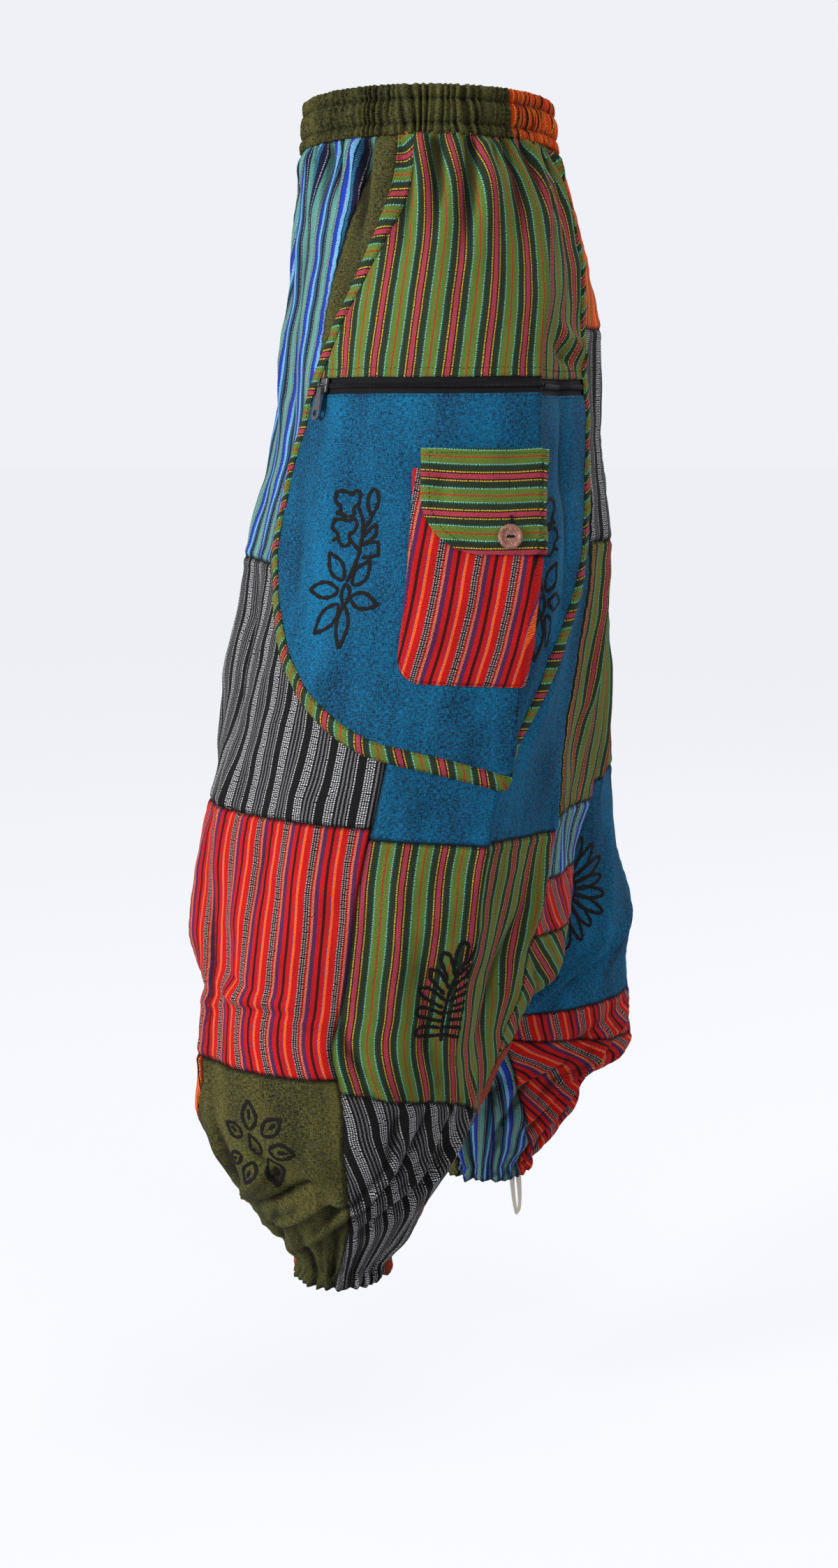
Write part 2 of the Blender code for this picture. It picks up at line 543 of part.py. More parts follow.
def waist_points(left, right, turns, drop, out):
    """Points round the whole waist: 0 is the centre front, and 1 and -1 are both the centre back."""
    near = left.at(np.abs(turns), drop, out)
    far = right.at(np.abs(turns), drop, out)
    on_seam = (np.abs(turns) < 1e-9) | (np.abs(np.abs(turns) - 1) < 1e-9)
    points = np.where((turns >= 0)[..., None], near, far)
    points[on_seam] = (near[on_seam] + far[on_seam]) / 2
    return points


def waistband(left, right, name, finish, start, end):
    """A stretch of the gathered band; its ends keep half a seam gap."""
    gap = SEAM_GAP / 2 / left.girth[0]
    facets = steps_for((end - start) * left.girth[0], WAISTBAND_FACET)
    turns, drop = np.meshgrid(
        np.linspace(start + gap, end - gap, facets + 1),
        np.array([0.0, WAISTBAND_DEPTH / 2, WAISTBAND_DEPTH - SEAM_GAP / 2]),
    )
    turns = np.where(turns > 1, turns - 2, turns)
    inner = waist_points(left, right, turns, drop, np.full_like(drop, BAND_LAYER[0]))
    outer = waist_points(left, right, turns, drop, np.full_like(drop, BAND_LAYER[1]))
    return wall(name, outer, inner, finish)


def outline_curve(points, count):
    """A smooth curve of evenly spaced points through an outline's own points."""
    table = np.array(points, float)
    run = np.concatenate([[0.0], np.cumsum(np.hypot(*np.diff(table, axis=0).T))])
    fine = np.linspace(0, run[-1], 400)
    tangent = np.gradient(table, run, axis=0)
    k = np.clip(np.searchsorted(run, fine) - 1, 0, len(run) - 2)
    step = (run[k + 1] - run[k])[:, None]
    t = (fine[:, None] - run[k][:, None]) / step
    curve = (2 * t**3 - 3 * t**2 + 1) * table[k] + (t**3 - 2 * t**2 + t) * step * tangent[k]
    curve += (3 * t**2 - 2 * t**3) * table[k + 1] + (t**3 - t**2) * step * tangent[k + 1]
    length = np.concatenate([[0.0], np.cumsum(np.hypot(*np.diff(curve, axis=0).T))])
    wanted = np.linspace(0, length[-1], count)
    return np.stack([np.interp(wanted, length, curve[:, i]) for i in range(2)], axis=1)


OUTLINE = np.vstack(
    [outline_curve(FRONT_OUTLINE, TIP + 1), outline_curve(BACK_OUTLINE, OUTLINE_COUNT - TIP)[1:]]
)


def moved_in(curve, distance):
    """The outline moved towards the middle of the panel, with its tip kept on the crease."""
    along = np.gradient(curve, axis=0)
    along /= np.linalg.norm(along, axis=1, keepdims=True)
    inward = np.stack([along[:, 1], -along[:, 0]], axis=1)
    inner = curve + distance * inward
    inner[[0, -1], 1] = curve[[0, -1], 1]
    inner[TIP, 0] = 0.0
    return inner


def crossing(curve, drop, first, last):
    """Where a stretch of an outline passes a depth."""
    part = curve[first:last]
    order = np.argsort(part[:, 1])
    return float(np.interp(drop, part[order, 1], part[order, 0]))


def two_sided(leg, name, finish, layer, front_edge, back_edge, crease_edge):
    """A piece across the crease: rows of points from its front edge, over the crease, to its back edge."""
    across = np.empty((len(crease_edge), PANEL_FRONT_STEPS + PANEL_BACK_STEPS + 1))
    drop = np.empty_like(across)
    for i in range(len(crease_edge)):
        for j in range(PANEL_FRONT_STEPS + PANEL_BACK_STEPS + 1):
            if j <= PANEL_FRONT_STEPS:
                start, end, share = front_edge[i], crease_edge[i], j / PANEL_FRONT_STEPS
            else:
                start, end, share = crease_edge[i], back_edge[i], (j - PANEL_FRONT_STEPS) / PANEL_BACK_STEPS
            across[i, j], drop[i, j] = start + (end - start) * share
    return wall(name, leg.on(across, drop, layer[1]), leg.on(across, drop, layer[0]), finish)


def resampled(curve, rows):
    run = np.concatenate([[0.0], np.cumsum(np.hypot(*np.diff(curve, axis=0).T))])
    wanted = np.linspace(0, run[-1], rows)
    return np.stack([np.interp(wanted, run, curve[:, i]) for i in range(2)], axis=1)


def binding(leg, name):
    """The bias strip round the panel: one strip along its outline, which turns the corner at the tip."""
    inner_edge = moved_in(OUTLINE, BINDING_WIDTH)
    across = np.stack([OUTLINE[:, 0], inner_edge[:, 0]])
    drop = np.stack([OUTLINE[:, 1], inner_edge[:, 1]])
    outer = leg.on(across, drop, BINDING_LAYER[1])
    inner = leg.on(across, drop, BINDING_LAYER[0])
    return wall(name, outer, inner, "green_stripe")


def panel_rows(top, bottom, rows):
    """Front, crease and back edges of the panel between two depths, inside its binding."""
    inner = moved_in(OUTLINE, BINDING_WIDTH + BINDING_GAP)
    depths = np.linspace(top, bottom, rows)
    front = np.array([(crossing(inner, d, 0, TIP), d) for d in depths])
    back = np.array([(crossing(inner, d, TIP + 1, OUTLINE_COUNT), d) for d in depths])
    crease = np.array([(0.0, d) for d in depths])
    return front, crease, back


def lower_panel_rows(top, rows):
    """The same for the rounded lower part, whose side edges run on round the bottom to the tip."""
    inner = moved_in(OUTLINE, BINDING_WIDTH + BINDING_GAP)
    front, back = inner[:TIP], inner[TIP + 1:][::-1]
    front = front[(front[:, 1] > top) & (front[:, 0] < -TIP_EASE)]
    back = back[(back[:, 1] > top) & (back[:, 0] > TIP_EASE)]
    front = np.vstack([[(crossing(inner, top, 0, TIP), top)], front])
    back = np.vstack([[(crossing(inner, top, TIP + 1, OUTLINE_COUNT), top)], back])
    tip_drop = inner[TIP, 1] - TIP_EASE / 2
    crease = np.array([(0.0, drop) for drop in np.linspace(top, tip_drop, rows)])
    return resampled(front, rows), crease, resampled(back, rows)


def side_panel(leg, prefix, with_zip):
    """Upper cloth, lower cloth and binding, with a zip between the two cloths on one leg."""
    upper_bottom = ZIP_TOP_DROP - SEAM_GAP
    lower_top = ZIP_TOP_DROP + (ZIP_HEIGHT + SEAM_GAP if with_zip else 0.0)
    front, crease, back = panel_rows(WAISTBAND_DEPTH + SEAM_GAP, upper_bottom, UPPER_PANEL_ROWS)
    two_sided(leg, prefix + "_panel_green", "green_stripe", PANEL_LAYER, front, back, crease)
    if with_zip:
        front, crease, back = panel_rows(ZIP_TOP_DROP, ZIP_TOP_DROP + ZIP_HEIGHT, 2)
        two_sided(leg, prefix + "_zip_tape", "zip_black", TAPE_LAYER, front, back, crease)
        middle = ZIP_TOP_DROP + ZIP_HEIGHT / 2
        front, crease, back = panel_rows(middle - COIL_HEIGHT / 2, middle + COIL_HEIGHT / 2, 2)
        front[:, 0] = SLIDER_ACROSS + SLIDER_SIZE[0] / 2 + SEAM_GAP
        two_sided(leg, prefix + "_zip_coil", "zip_black", COIL_LAYER, front, back, crease)
    front, crease, back = lower_panel_rows(lower_top, LOWER_PANEL_ROWS)
    two_sided(leg, prefix + "_panel_blue", "blue_cotton", PANEL_LAYER, front, back, crease)
    binding(leg, prefix + "_panel_binding")


def rounded_left(left, top, bottom, corner, rows):
    """The left edge of a piece with a rounded lower left corner, one point for each row."""
    drops = top + (bottom - top) * np.sin(np.linspace(0, math.pi / 2, rows))
    into = np.clip((drops - (bottom - corner)) / corner, 0, 1)
    across = left + corner * (1 - np.sqrt(1 - into**2))
    return np.stack([across, drops], axis=1)


def on_panel_piece(leg, name, finish, layer, left, top, bottom, corner):
    """A pocket or flap: in front of the crease, with a little of it folded behind the crease."""
    edge = rounded_left(left, top, bottom, corner, POCKET_ROWS)
    across = np.empty((POCKET_ROWS, POCKET_STEPS + 2))
    drop = np.empty_like(across)
    for i in range(POCKET_ROWS):
        across[i, : POCKET_STEPS + 1] = np.linspace(edge[i, 0], 0.0, POCKET_STEPS + 1)
        across[i, POCKET_STEPS + 1] = WRAP_BEHIND_CREASE
        drop[i] = edge[i, 1]
    return wall(name, leg.on(across, drop, layer[1]), leg.on(across, drop, layer[0]), finish)


def frame_on(leg, across, drop, out):
    """A place on the leg, with its directions along the cloth, down it and out of it."""
    step = FRAME_STEP
    place = leg.on(np.array([across]), np.array([drop]), out)[0]
    ahead = leg.on(np.array([across + step]), np.array([drop]), out)[0]
    below = leg.on(np.array([across]), np.array([drop + step]), out)[0]
    along = (ahead - place) / np.linalg.norm(ahead - place)
    out_dir = np.cross(below - place, along)
    out_dir *= leg.side / np.linalg.norm(out_dir)
    down = np.cross(along, out_dir)
    down *= np.sign(down @ (below - place))
    return place, along, down, out_dir


def placed(obj, place, x_axis, y_axis, z_axis):
    """Puts an object made at the origin where its three axes point as given."""
    columns = [[*x_axis, 0.0], [*y_axis, 0.0], [*z_axis, 0.0], [*place, 1.0]]
    obj.matrix_world = Matrix(columns).transposed()
    bpy.context.view_layer.update()
    return obj


def primitive(name, finish, collection):
    """Takes the primitive that was just added into its own collection, under its own name."""
    obj = bpy.context.active_object
    obj.name = name
    for other in list(obj.users_collection):
        other.objects.unlink(obj)
    collection.objects.link(obj)
    obj.data.materials.append(material(finish))
    return obj


def as_cutter(obj):
    obj.hide_render = True
    obj.display_type = "WIRE"
    return obj


def boolean(obj, other, operation):
    step = obj.modifiers.new(operation.title(), "BOOLEAN")
    step.operation = operation
    step.object = other
    return step


def button(leg):
    """A turned coconut button with a shallow dish and two sewing holes."""
    place, along, down, out_dir = frame_on(leg, BUTTON_ACROSS, BUTTON_DROP, FLAP_LAYER[1] + BUTTON_STANDOFF)
    turned = bmesh.new()
    ring = [turned.verts.new((x * BUTTON_RADIUS, 0.0, z * BUTTON_THICKNESS)) for x, z in BUTTON_PROFILE]
    for first, second in zip(ring, ring[1:]):
        turned.edges.new((first, second))
    mesh = bpy.data.meshes.new("button")
    turned.to_mesh(mesh)
    turned.free()
    disc = add_mesh("button", mesh, "coconut", parts)
    screw = disc.modifiers.new("Turn", "SCREW")
    screw.steps = screw.render_steps = BUTTON_STEPS
    screw.use_merge_vertices = True
    screw.merge_threshold = WELD_WITHIN
    placed(disc, place, along, -down, out_dir)
    for i, sign in enumerate((-1, 1)):
        bpy.ops.mesh.primitive_cylinder_add(vertices=12, radius=BUTTON_HOLE_RADIUS, depth=CUTTER_SIZE)
        hole = as_cutter(primitive(f"button_hole_{i}", "coconut", cutters))
        placed(hole, place + sign * BUTTON_HOLE_SPACING / 2 * along, along, -down, out_dir)
        boolean(disc, hole, "DIFFERENCE")
    return disc


def slider_and_pull(leg):
    """The zip's slider with its bridge, and the pull tab whose ring hangs on the bridge."""
    middle = ZIP_TOP_DROP + ZIP_HEIGHT / 2
    base = TAPE_LAYER[1] + SEAM_GAP
    place, along, down, out_dir = frame_on(leg, SLIDER_ACROSS, middle, base)
    length, height, thick = SLIDER_SIZE
    bpy.ops.mesh.primitive_cube_add(size=1)
    body = primitive("zip_slider", "gunmetal", parts)
    body.data.transform(Matrix.Diagonal((length, height, thick, 1)))
    placed(body, place + out_dir * thick / 2, along, -down, out_dir)
    bevel = body.modifiers.new("Edges", "BEVEL")
    bevel.width = SLIDER_BEVEL
    bevel.segments = 2
    bpy.ops.mesh.primitive_torus_add(
        major_radius=BRIDGE_RADIUS, minor_radius=BRIDGE_WIRE, major_segments=28, minor_segments=10
    )
    bridge = as_cutter(primitive("slider_bridge", "gunmetal", cutters))
    crown = place + out_dir * thick * BRIDGE_SEAT
    placed(bridge, crown, along, out_dir, down)
    bpy.ops.mesh.primitive_cube_add(size=1)
    below = as_cutter(primitive("below_bridge", "gunmetal", cutters))
    below.data.transform(Matrix.Diagonal((CUTTER_SIZE, CUTTER_SIZE, BELOW_BRIDGE, 1)))
    placed(below, crown - out_dir * (BELOW_BRIDGE + thick) / 2, along, -down, out_dir)
    boolean(bridge, below, "DIFFERENCE")
    boolean(body, bridge, "UNION")

    pivot = crown + out_dir * BRIDGE_RADIUS
    ring_centre = pivot + down * RING_HANG
    bpy.ops.mesh.primitive_torus_add(
        major_radius=RING_RADIUS, minor_radius=RING_WIRE, major_segments=24, minor_segments=10
    )
    ring = as_cutter(primitive("pull_ring", "gunmetal", cutters))
    placed(ring, ring_centre, down, out_dir, along)
    top = RING_RADIUS - 0.2 * RING_WIRE
    curve = bpy.data.curves.new("pull_tab_outline", "CURVE")
    curve.dimensions = "2D"
    curve.fill_mode = "BOTH"
    curve.extrude = PULL_THICKNESS / 2
    end_radius = PULL_BOTTOM_WIDTH / 2
    centre = top + PULL_LENGTH - end_radius
    flare, fall = PULL_SHOULDER
    side = [(PULL_TOP_WIDTH / 2, -top), (PULL_TOP_WIDTH / 2 + flare, -top - fall)]
    turn = [math.radians(a) for a in range(8, -189, -14)]
    foot = [(end_radius * math.cos(a), -centre + end_radius * math.sin(a)) for a in turn]
    outline = side + foot + [(-x, y) for x, y in reversed(side)]
    around = [math.tau * i / 20 for i in range(20)]
    hole = [(PULL_HOLE_RADIUS * math.cos(a), -centre + PULL_HOLE_RADIUS * math.sin(a)) for a in around]
    for loop in (outline, hole):
        spline = curve.splines.new("POLY")
        spline.points.add(len(loop) - 1)
        for point, (x, y) in zip(spline.points, loop):
            point.co = (x, y, 0.0, 1.0)
        spline.use_cyclic_u = True
    flat = bpy.data.objects.new("pull_tab_outline", curve)
    parts.objects.link(flat)
    bpy.context.view_layer.update()
    plate = bpy.data.meshes.new_from_object(flat.evaluated_get(bpy.context.evaluated_depsgraph_get()))
    parts.objects.unlink(flat)
    bpy.data.objects.remove(flat)
    solid = bmesh.new()
    solid.from_mesh(plate)
    bmesh.ops.remove_doubles(solid, verts=solid.verts, dist=WELD_WITHIN)
    solid.to_mesh(plate)
    solid.free()
    plate.materials.clear()
    tab = add_mesh("zip_pull", plate, "gunmetal", parts)
    placed(tab, pivot + down * RING_HANG, along, -down, out_dir)
    boolean(tab, ring, "UNION")
    return pivot, along


def tape_loop(leg):
    """The narrow cotton tape that hangs in a loop from the right cuff."""
    turn = math.radians(LOOP_ROUND_DEG)
    centre = leg.points[-1].mean(axis=0)
    radius_x = leg.points[-1][:, 0].max() - centre[0] - LOOP_INSET
    radius_y = leg.points[-1][:, 1].max() - centre[1] - LOOP_INSET
    start = centre + np.array([radius_x * math.cos(turn), radius_y * math.sin(turn), 0.0])
    along = np.array([-radius_x * math.sin(turn), radius_y * math.cos(turn), 0.0])
    along /= np.linalg.norm(along)
    control = np.array([start + along * a + np.array([0.0, 0.0, z]) for a, z in LOOP_POINTS])
    run = np.concatenate([[0.0], np.cumsum(np.linalg.norm(np.diff(control, axis=0), axis=1))])
    count = int(run[-1] / (2.5 * LOOP_WIRE))
    even = np.linspace(0, run[-1], count)
    route = np.stack([through(run, control[:, i], even) for i in range(3)], axis=1)
    curve = bpy.data.curves.new("cuff_tape_loop", "CURVE")
    curve.dimensions = "3D"
    curve.bevel_depth = LOOP_WIRE
    curve.bevel_resolution = 2
    curve.use_fill_caps = True
    spline = curve.splines.new("POLY")
    spline.points.add(count - 1)
    for point, place in zip(spline.points, route):
        point.co = (*place, 1.0)
    curve.materials.append(material("cream_tape"))
    cord = bpy.data.objects.new("cuff_tape_loop", curve)
    parts.objects.link(cord)
    return cord


clear_scene()
parts = new_collection("harem_trousers")
cutters = new_collection("cutters")

left_leg = Leg(LEFT_SECTIONS, LEFT_FOLDS, 1)
right_leg = Leg(RIGHT_SECTIONS, RIGHT_FOLDS, -1)
for leg, patches in ((left_leg, LEFT_PATCHES), (right_leg, RIGHT_PATCHES)):
    for row in patches:
        patch = dict(zip(PATCH_COLUMNS, row))
        leg_patch(
            leg, patch["name"], patch["cloth"], patch["left"], patch["right"], patch["top"], patch["bottom"]
        )

waistband(left_leg, right_leg, "waistband_olive", "olive_cotton", -0.60, 0.60)
waistband(left_leg, right_leg, "waistband_orange", "orange_stripe", 0.60, 1.40)

side_panel(left_leg, "left", with_zip=True)
side_panel(right_leg, "right", with_zip=False)

on_panel_piece(
    left_leg,
    "patch_pocket",
    "red_stripe",
    POCKET_LAYER,
    POCKET_LEFT,
    POCKET_TOP,
    POCKET_BOTTOM,
    POCKET_CORNER,
)
on_panel_piece(
    left_leg, "pocket_flap", "green_stripe", FLAP_LAYER, FLAP_LEFT, FLAP_TOP, FLAP_BOTTOM, FLAP_CORNER
)
button(left_leg)
slider_and_pull(left_leg)
tape_loop(right_leg)
bpy.context.view_layer.update()
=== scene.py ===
import math

import bmesh
import bpy
import numpy as np
from mathutils import Matrix, Vector


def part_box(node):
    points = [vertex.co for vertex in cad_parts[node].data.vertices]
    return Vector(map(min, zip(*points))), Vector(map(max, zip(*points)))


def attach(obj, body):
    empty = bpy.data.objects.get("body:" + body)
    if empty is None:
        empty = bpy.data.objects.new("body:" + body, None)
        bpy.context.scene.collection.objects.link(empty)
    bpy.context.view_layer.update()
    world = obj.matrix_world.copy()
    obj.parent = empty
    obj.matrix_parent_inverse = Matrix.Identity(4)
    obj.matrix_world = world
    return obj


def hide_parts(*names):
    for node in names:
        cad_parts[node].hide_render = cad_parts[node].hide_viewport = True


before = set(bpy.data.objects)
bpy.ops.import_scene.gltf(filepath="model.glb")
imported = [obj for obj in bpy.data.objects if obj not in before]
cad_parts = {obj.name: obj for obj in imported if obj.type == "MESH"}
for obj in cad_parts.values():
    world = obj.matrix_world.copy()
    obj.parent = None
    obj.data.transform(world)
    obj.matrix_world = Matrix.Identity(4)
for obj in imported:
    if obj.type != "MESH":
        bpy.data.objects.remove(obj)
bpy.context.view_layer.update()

# The room: a pale floor, a key lamp ahead and to the wearer's left, a fill behind and to the left, a
# broad lamp overhead and a weaker one behind the seat. The camera stands two metres off the wearer's
# left side, a little above the hip, and looks slightly down.
FLOOR_HEIGHT = -1.085
floor_mesh = bpy.data.meshes.new("floor")
reach = 40.0
floor_mesh.from_pydata(
    [
        (-reach, -reach, FLOOR_HEIGHT), (reach, -reach, FLOOR_HEIGHT),
        (reach, reach, FLOOR_HEIGHT), (-reach, reach, FLOOR_HEIGHT),
    ],
    [],
    [(0, 1, 2, 3)],
)
floor = bpy.data.objects.new("floor", floor_mesh)
bpy.context.scene.collection.objects.link(floor)
floor_paint = bpy.data.materials.new("pale_floor")
floor_paint.use_nodes = True
floor_shader = floor_paint.node_tree.nodes["Principled BSDF"]
floor_shader.inputs["Base Color"].default_value = (0.16, 0.16, 0.165, 1)
floor_shader.inputs["Emission Color"].default_value = (0.93, 0.945, 1.0, 1)
seen_floor = floor_paint.node_tree.nodes.new("ShaderNodeLightPath")
floor_glow = floor_paint.node_tree.nodes.new("ShaderNodeMapRange")
floor_glow.inputs["To Min"].default_value = 0.34
floor_glow.inputs["To Max"].default_value = 0.84
floor_paint.node_tree.links.new(seen_floor.outputs["Is Camera Ray"], floor_glow.inputs["Value"])
floor_paint.node_tree.links.new(floor_glow.outputs["Result"], floor_shader.inputs["Emission Strength"])
floor_shader.inputs["Roughness"].default_value = 0.8
floor_mesh.materials.append(floor_paint)

room = bpy.data.worlds.new("pale_room")
bpy.context.scene.world = room
room.use_nodes = True
room.node_tree.nodes["Background"].inputs["Color"].default_value = (0.93, 0.945, 1.0, 1)
in_view = room.node_tree.nodes.new("ShaderNodeLightPath")
brightness = room.node_tree.nodes.new("ShaderNodeMapRange")
brightness.inputs["To Min"].default_value = 0.30
brightness.inputs["To Max"].default_value = 0.93
room.node_tree.links.new(in_view.outputs["Is Camera Ray"], brightness.inputs["Value"])
room.node_tree.links.new(brightness.outputs["Result"], room.node_tree.nodes["Background"].inputs["Strength"])
bpy.context.scene.view_settings.view_transform = "Standard"


def soft_lamp(name, place, target, size, power):
    data = bpy.data.lights.new(name, "AREA")
    data.shape = "RECTANGLE"
    data.size, data.size_y = size
    data.energy = power
    lamp = bpy.data.objects.new(name, data)
    bpy.context.scene.collection.objects.link(lamp)
    lamp.location = place
    lamp.rotation_mode = "QUATERNION"
    lamp.rotation_quaternion = (Vector(target) - Vector(place)).to_track_quat("-Z", "Y")


soft_lamp("key_lamp", (1.9, -2.7, 0.15), (0.0, 0.0, -0.60), (0.8, 1.3), 116)
soft_lamp("fill_lamp", (2.3, 2.4, 0.5), (0.0, 0.0, -0.5), (1.4, 2.0), 24)
soft_lamp("top_lamp", (0.6, 0.2, 2.6), (0.0, 0.0, -0.5), (2.4, 2.4), 32)
soft_lamp("seat_lamp", (-1.8, 2.4, 1.2), (0.0, 0.0, -0.5), (1.6, 1.6), 30)

view_down, view_turn = math.radians(8.73), math.radians(1.146)
look = Vector((
    -math.cos(view_down) * math.cos(view_turn), -math.cos(view_down) * math.sin(view_turn), -math.sin(view_down)
))
right = look.cross(Vector((0, 0, 1))).normalized()
up = right.cross(look)
camera_data = bpy.data.cameras.new("camera")
camera_data.lens = 54.52
camera_data.sensor_width = 36
camera = bpy.data.objects.new("camera", camera_data)
bpy.context.scene.collection.objects.link(camera)
bpy.context.scene.camera = camera
camera.matrix_world = Matrix((
    (right.x, up.x, -look.x, 2.0), (right.y, up.y, -look.y, 0.0325), (right.z, up.z, -look.z, -0.2515), (0, 0, 0, 1)
))


# The garment's form: two cloth legs that meet in a drop crotch, held out by the body and drawn in by
# the elastic at the waist and the ankles. "round" runs from the front seam (0) round the outside to
# the back seam (1), "drop" is the depth below the waist, and "across" is taken from the side crease.
CREASE_ROUND = 0.62
CROTCH_DROP = 0.740
MID_GAP = 0.0002
CLOSED_WITHIN = 0.004
FRONT_EASE = 0.060
BACK_EASE = 0.030
MIDDLE_BEND_DEG = 60
FOLD_FADE_ROUND = 0.08

SECTION_COLUMNS = (
    "drop", "centre_x", "centre_y", "half_x", "half_y", "front_turn", "back_turn",
    "front_x", "front_y", "back_x", "back_y", "crease", "ridge", "lift",
)
LEFT_SECTIONS = (
    (0.000, 0.000, 0.000, 0.135, 0.098, 90, 90, 0.000, -0.098, 0.000, 0.098, 0.72, 0.000, 0.00),
    (0.035, 0.000, 0.001, 0.140, 0.101, 90, 90, 0.000, -0.100, 0.000, 0.102, 0.72, 0.000, 0.00),
    (0.080, 0.000, 0.005, 0.160, 0.110, 90, 90, 0.000, -0.105, 0.000, 0.116, 0.71, 0.004, 0.00),
    (0.160, 0.002, 0.010, 0.186, 0.124, 91, 91, 0.000, -0.113, 0.000, 0.136, 0.66, 0.014, 0.00),
    (0.260, 0.014, 0.010, 0.203, 0.132, 94, 94, 0.000, -0.121, 0.000, 0.143, 0.618, 0.024, 0.00),
    (0.360, 0.036, 0.004, 0.190, 0.143, 100, 100, 0.000, -0.140, 0.000, 0.149, 0.611, 0.028, 0.02),
    (0.480, 0.072, -0.019, 0.160, 0.137, 112, 116, 0.000, -0.156, 0.000, 0.138, 0.617, 0.026, 0.05),
    (0.580, 0.098, -0.041, 0.136, 0.137, 128, 132, 0.000, -0.140, 0.000, 0.112, 0.622, 0.022, 0.08),
    (0.650, 0.112, -0.057, 0.120, 0.128, 150, 150, 0.000, -0.085, 0.000, 0.098, 0.645, 0.018, 0.08),
    (0.700, 0.116, -0.067, 0.112, 0.119, 168, 165, 0.000, -0.020, 0.000, 0.082, 0.672, 0.014, 0.07),
    (0.740, 0.118, -0.071, 0.110, 0.116, 180, 180, 0.000, 0.030, 0.000, 0.030, 0.690, 0.010, 0.05),
    (0.800, 0.120, -0.081, 0.107, 0.109, 180, 180, 0.015, 0.000, 0.015, 0.000, 0.730, 0.006, 0.02),
    (0.835, 0.122, -0.079, 0.100, 0.098, 180, 180, 0.024, -0.030, 0.024, -0.030, 0.730, 0.002, 0.01),
    (0.870, 0.123, -0.074, 0.080, 0.080, 180, 180, 0.045, -0.060, 0.045, -0.060, 0.720, 0.000, 0.00),
    (0.910, 0.124, -0.070, 0.054, 0.057, 180, 180, 0.070, -0.070, 0.070, -0.070, 0.700, 0.000, 0.00),
    (0.930, 0.124, -0.070, 0.042, 0.041, 180, 180, 0.082, -0.070, 0.082, -0.070, 0.690, 0.000, 0.00),
    (0.948, 0.125, -0.071, 0.038, 0.036, 180, 180, 0.087, -0.071, 0.087, -0.071, 0.680, 0.000, 0.00),
)
RIGHT_SECTIONS = (
    (0.000, 0.000, 0.000, 0.135, 0.098, 90, 90, 0.000, -0.098, 0.000, 0.098, 0.72, 0.000, 0.00),
    (0.035, 0.000, 0.001, 0.140, 0.101, 90, 90, 0.000, -0.100, 0.000, 0.102, 0.72, 0.000, 0.00),
    (0.080, 0.000, 0.005, 0.160, 0.110, 90, 90, 0.000, -0.105, 0.000, 0.116, 0.71, 0.003, 0.00),
    (0.160, 0.002, 0.010, 0.186, 0.124, 91, 91, 0.000, -0.113, 0.000, 0.136, 0.66, 0.010, 0.00),
    (0.260, 0.014, 0.011, 0.203, 0.133, 94, 94, 0.000, -0.121, 0.000, 0.143, 0.62, 0.016, 0.00),
    (0.360, 0.040, 0.012, 0.186, 0.140, 100, 100, 0.000, -0.140, 0.000, 0.149, 0.61, 0.020, 0.00),
    (0.480, 0.076, 0.023, 0.158, 0.144, 112, 116, 0.000, -0.156, 0.000, 0.138, 0.60, 0.018, 0.00),
    (0.580, 0.100, 0.034, 0.136, 0.137, 128, 132, 0.000, -0.140, 0.000, 0.112, 0.60, 0.014, 0.00),
    (0.650, 0.112, 0.048, 0.124, 0.131, 150, 150, 0.000, -0.085, 0.000, 0.098, 0.60, 0.010, 0.00),
    (0.700, 0.116, 0.057, 0.115, 0.127, 168, 165, 0.000, -0.020, 0.000, 0.082, 0.60, 0.010, 0.00),
    (0.740, 0.117, 0.060, 0.111, 0.124, 180, 180, 0.000, 0.030, 0.000, 0.030, 0.61, 0.008, 0.00),
    (0.785, 0.117, 0.062, 0.108, 0.120, 180, 180, 0.012, 0.040, 0.012, 0.040, 0.61, 0.006, 0.00),
    (0.815, 0.117, 0.066, 0.102, 0.113, 180, 180, 0.018, 0.050, 0.018, 0.050, 0.62, 0.002, 0.00),
    (0.832, 0.116, 0.060, 0.090, 0.082, 180, 180, 0.028, 0.055, 0.028, 0.055, 0.62, 0.000, 0.00),
    (0.865, 0.116, 0.058, 0.072, 0.070, 180, 180, 0.046, 0.057, 0.046, 0.057, 0.62, 0.000, 0.00),
    (0.900, 0.115, 0.056, 0.050, 0.056, 180, 180, 0.066, 0.056, 0.066, 0.056, 0.62, 0.000, 0.00),
    (0.918, 0.115, 0.054, 0.041, 0.041, 180, 180, 0.075, 0.054, 0.075, 0.054, 0.62, 0.000, 0.00),
    (0.936, 0.115, 0.0535, 0.037, 0.0345, 180, 180, 0.079, 0.0535, 0.079, 0.0535, 0.62, 0.000, 0.00),
)

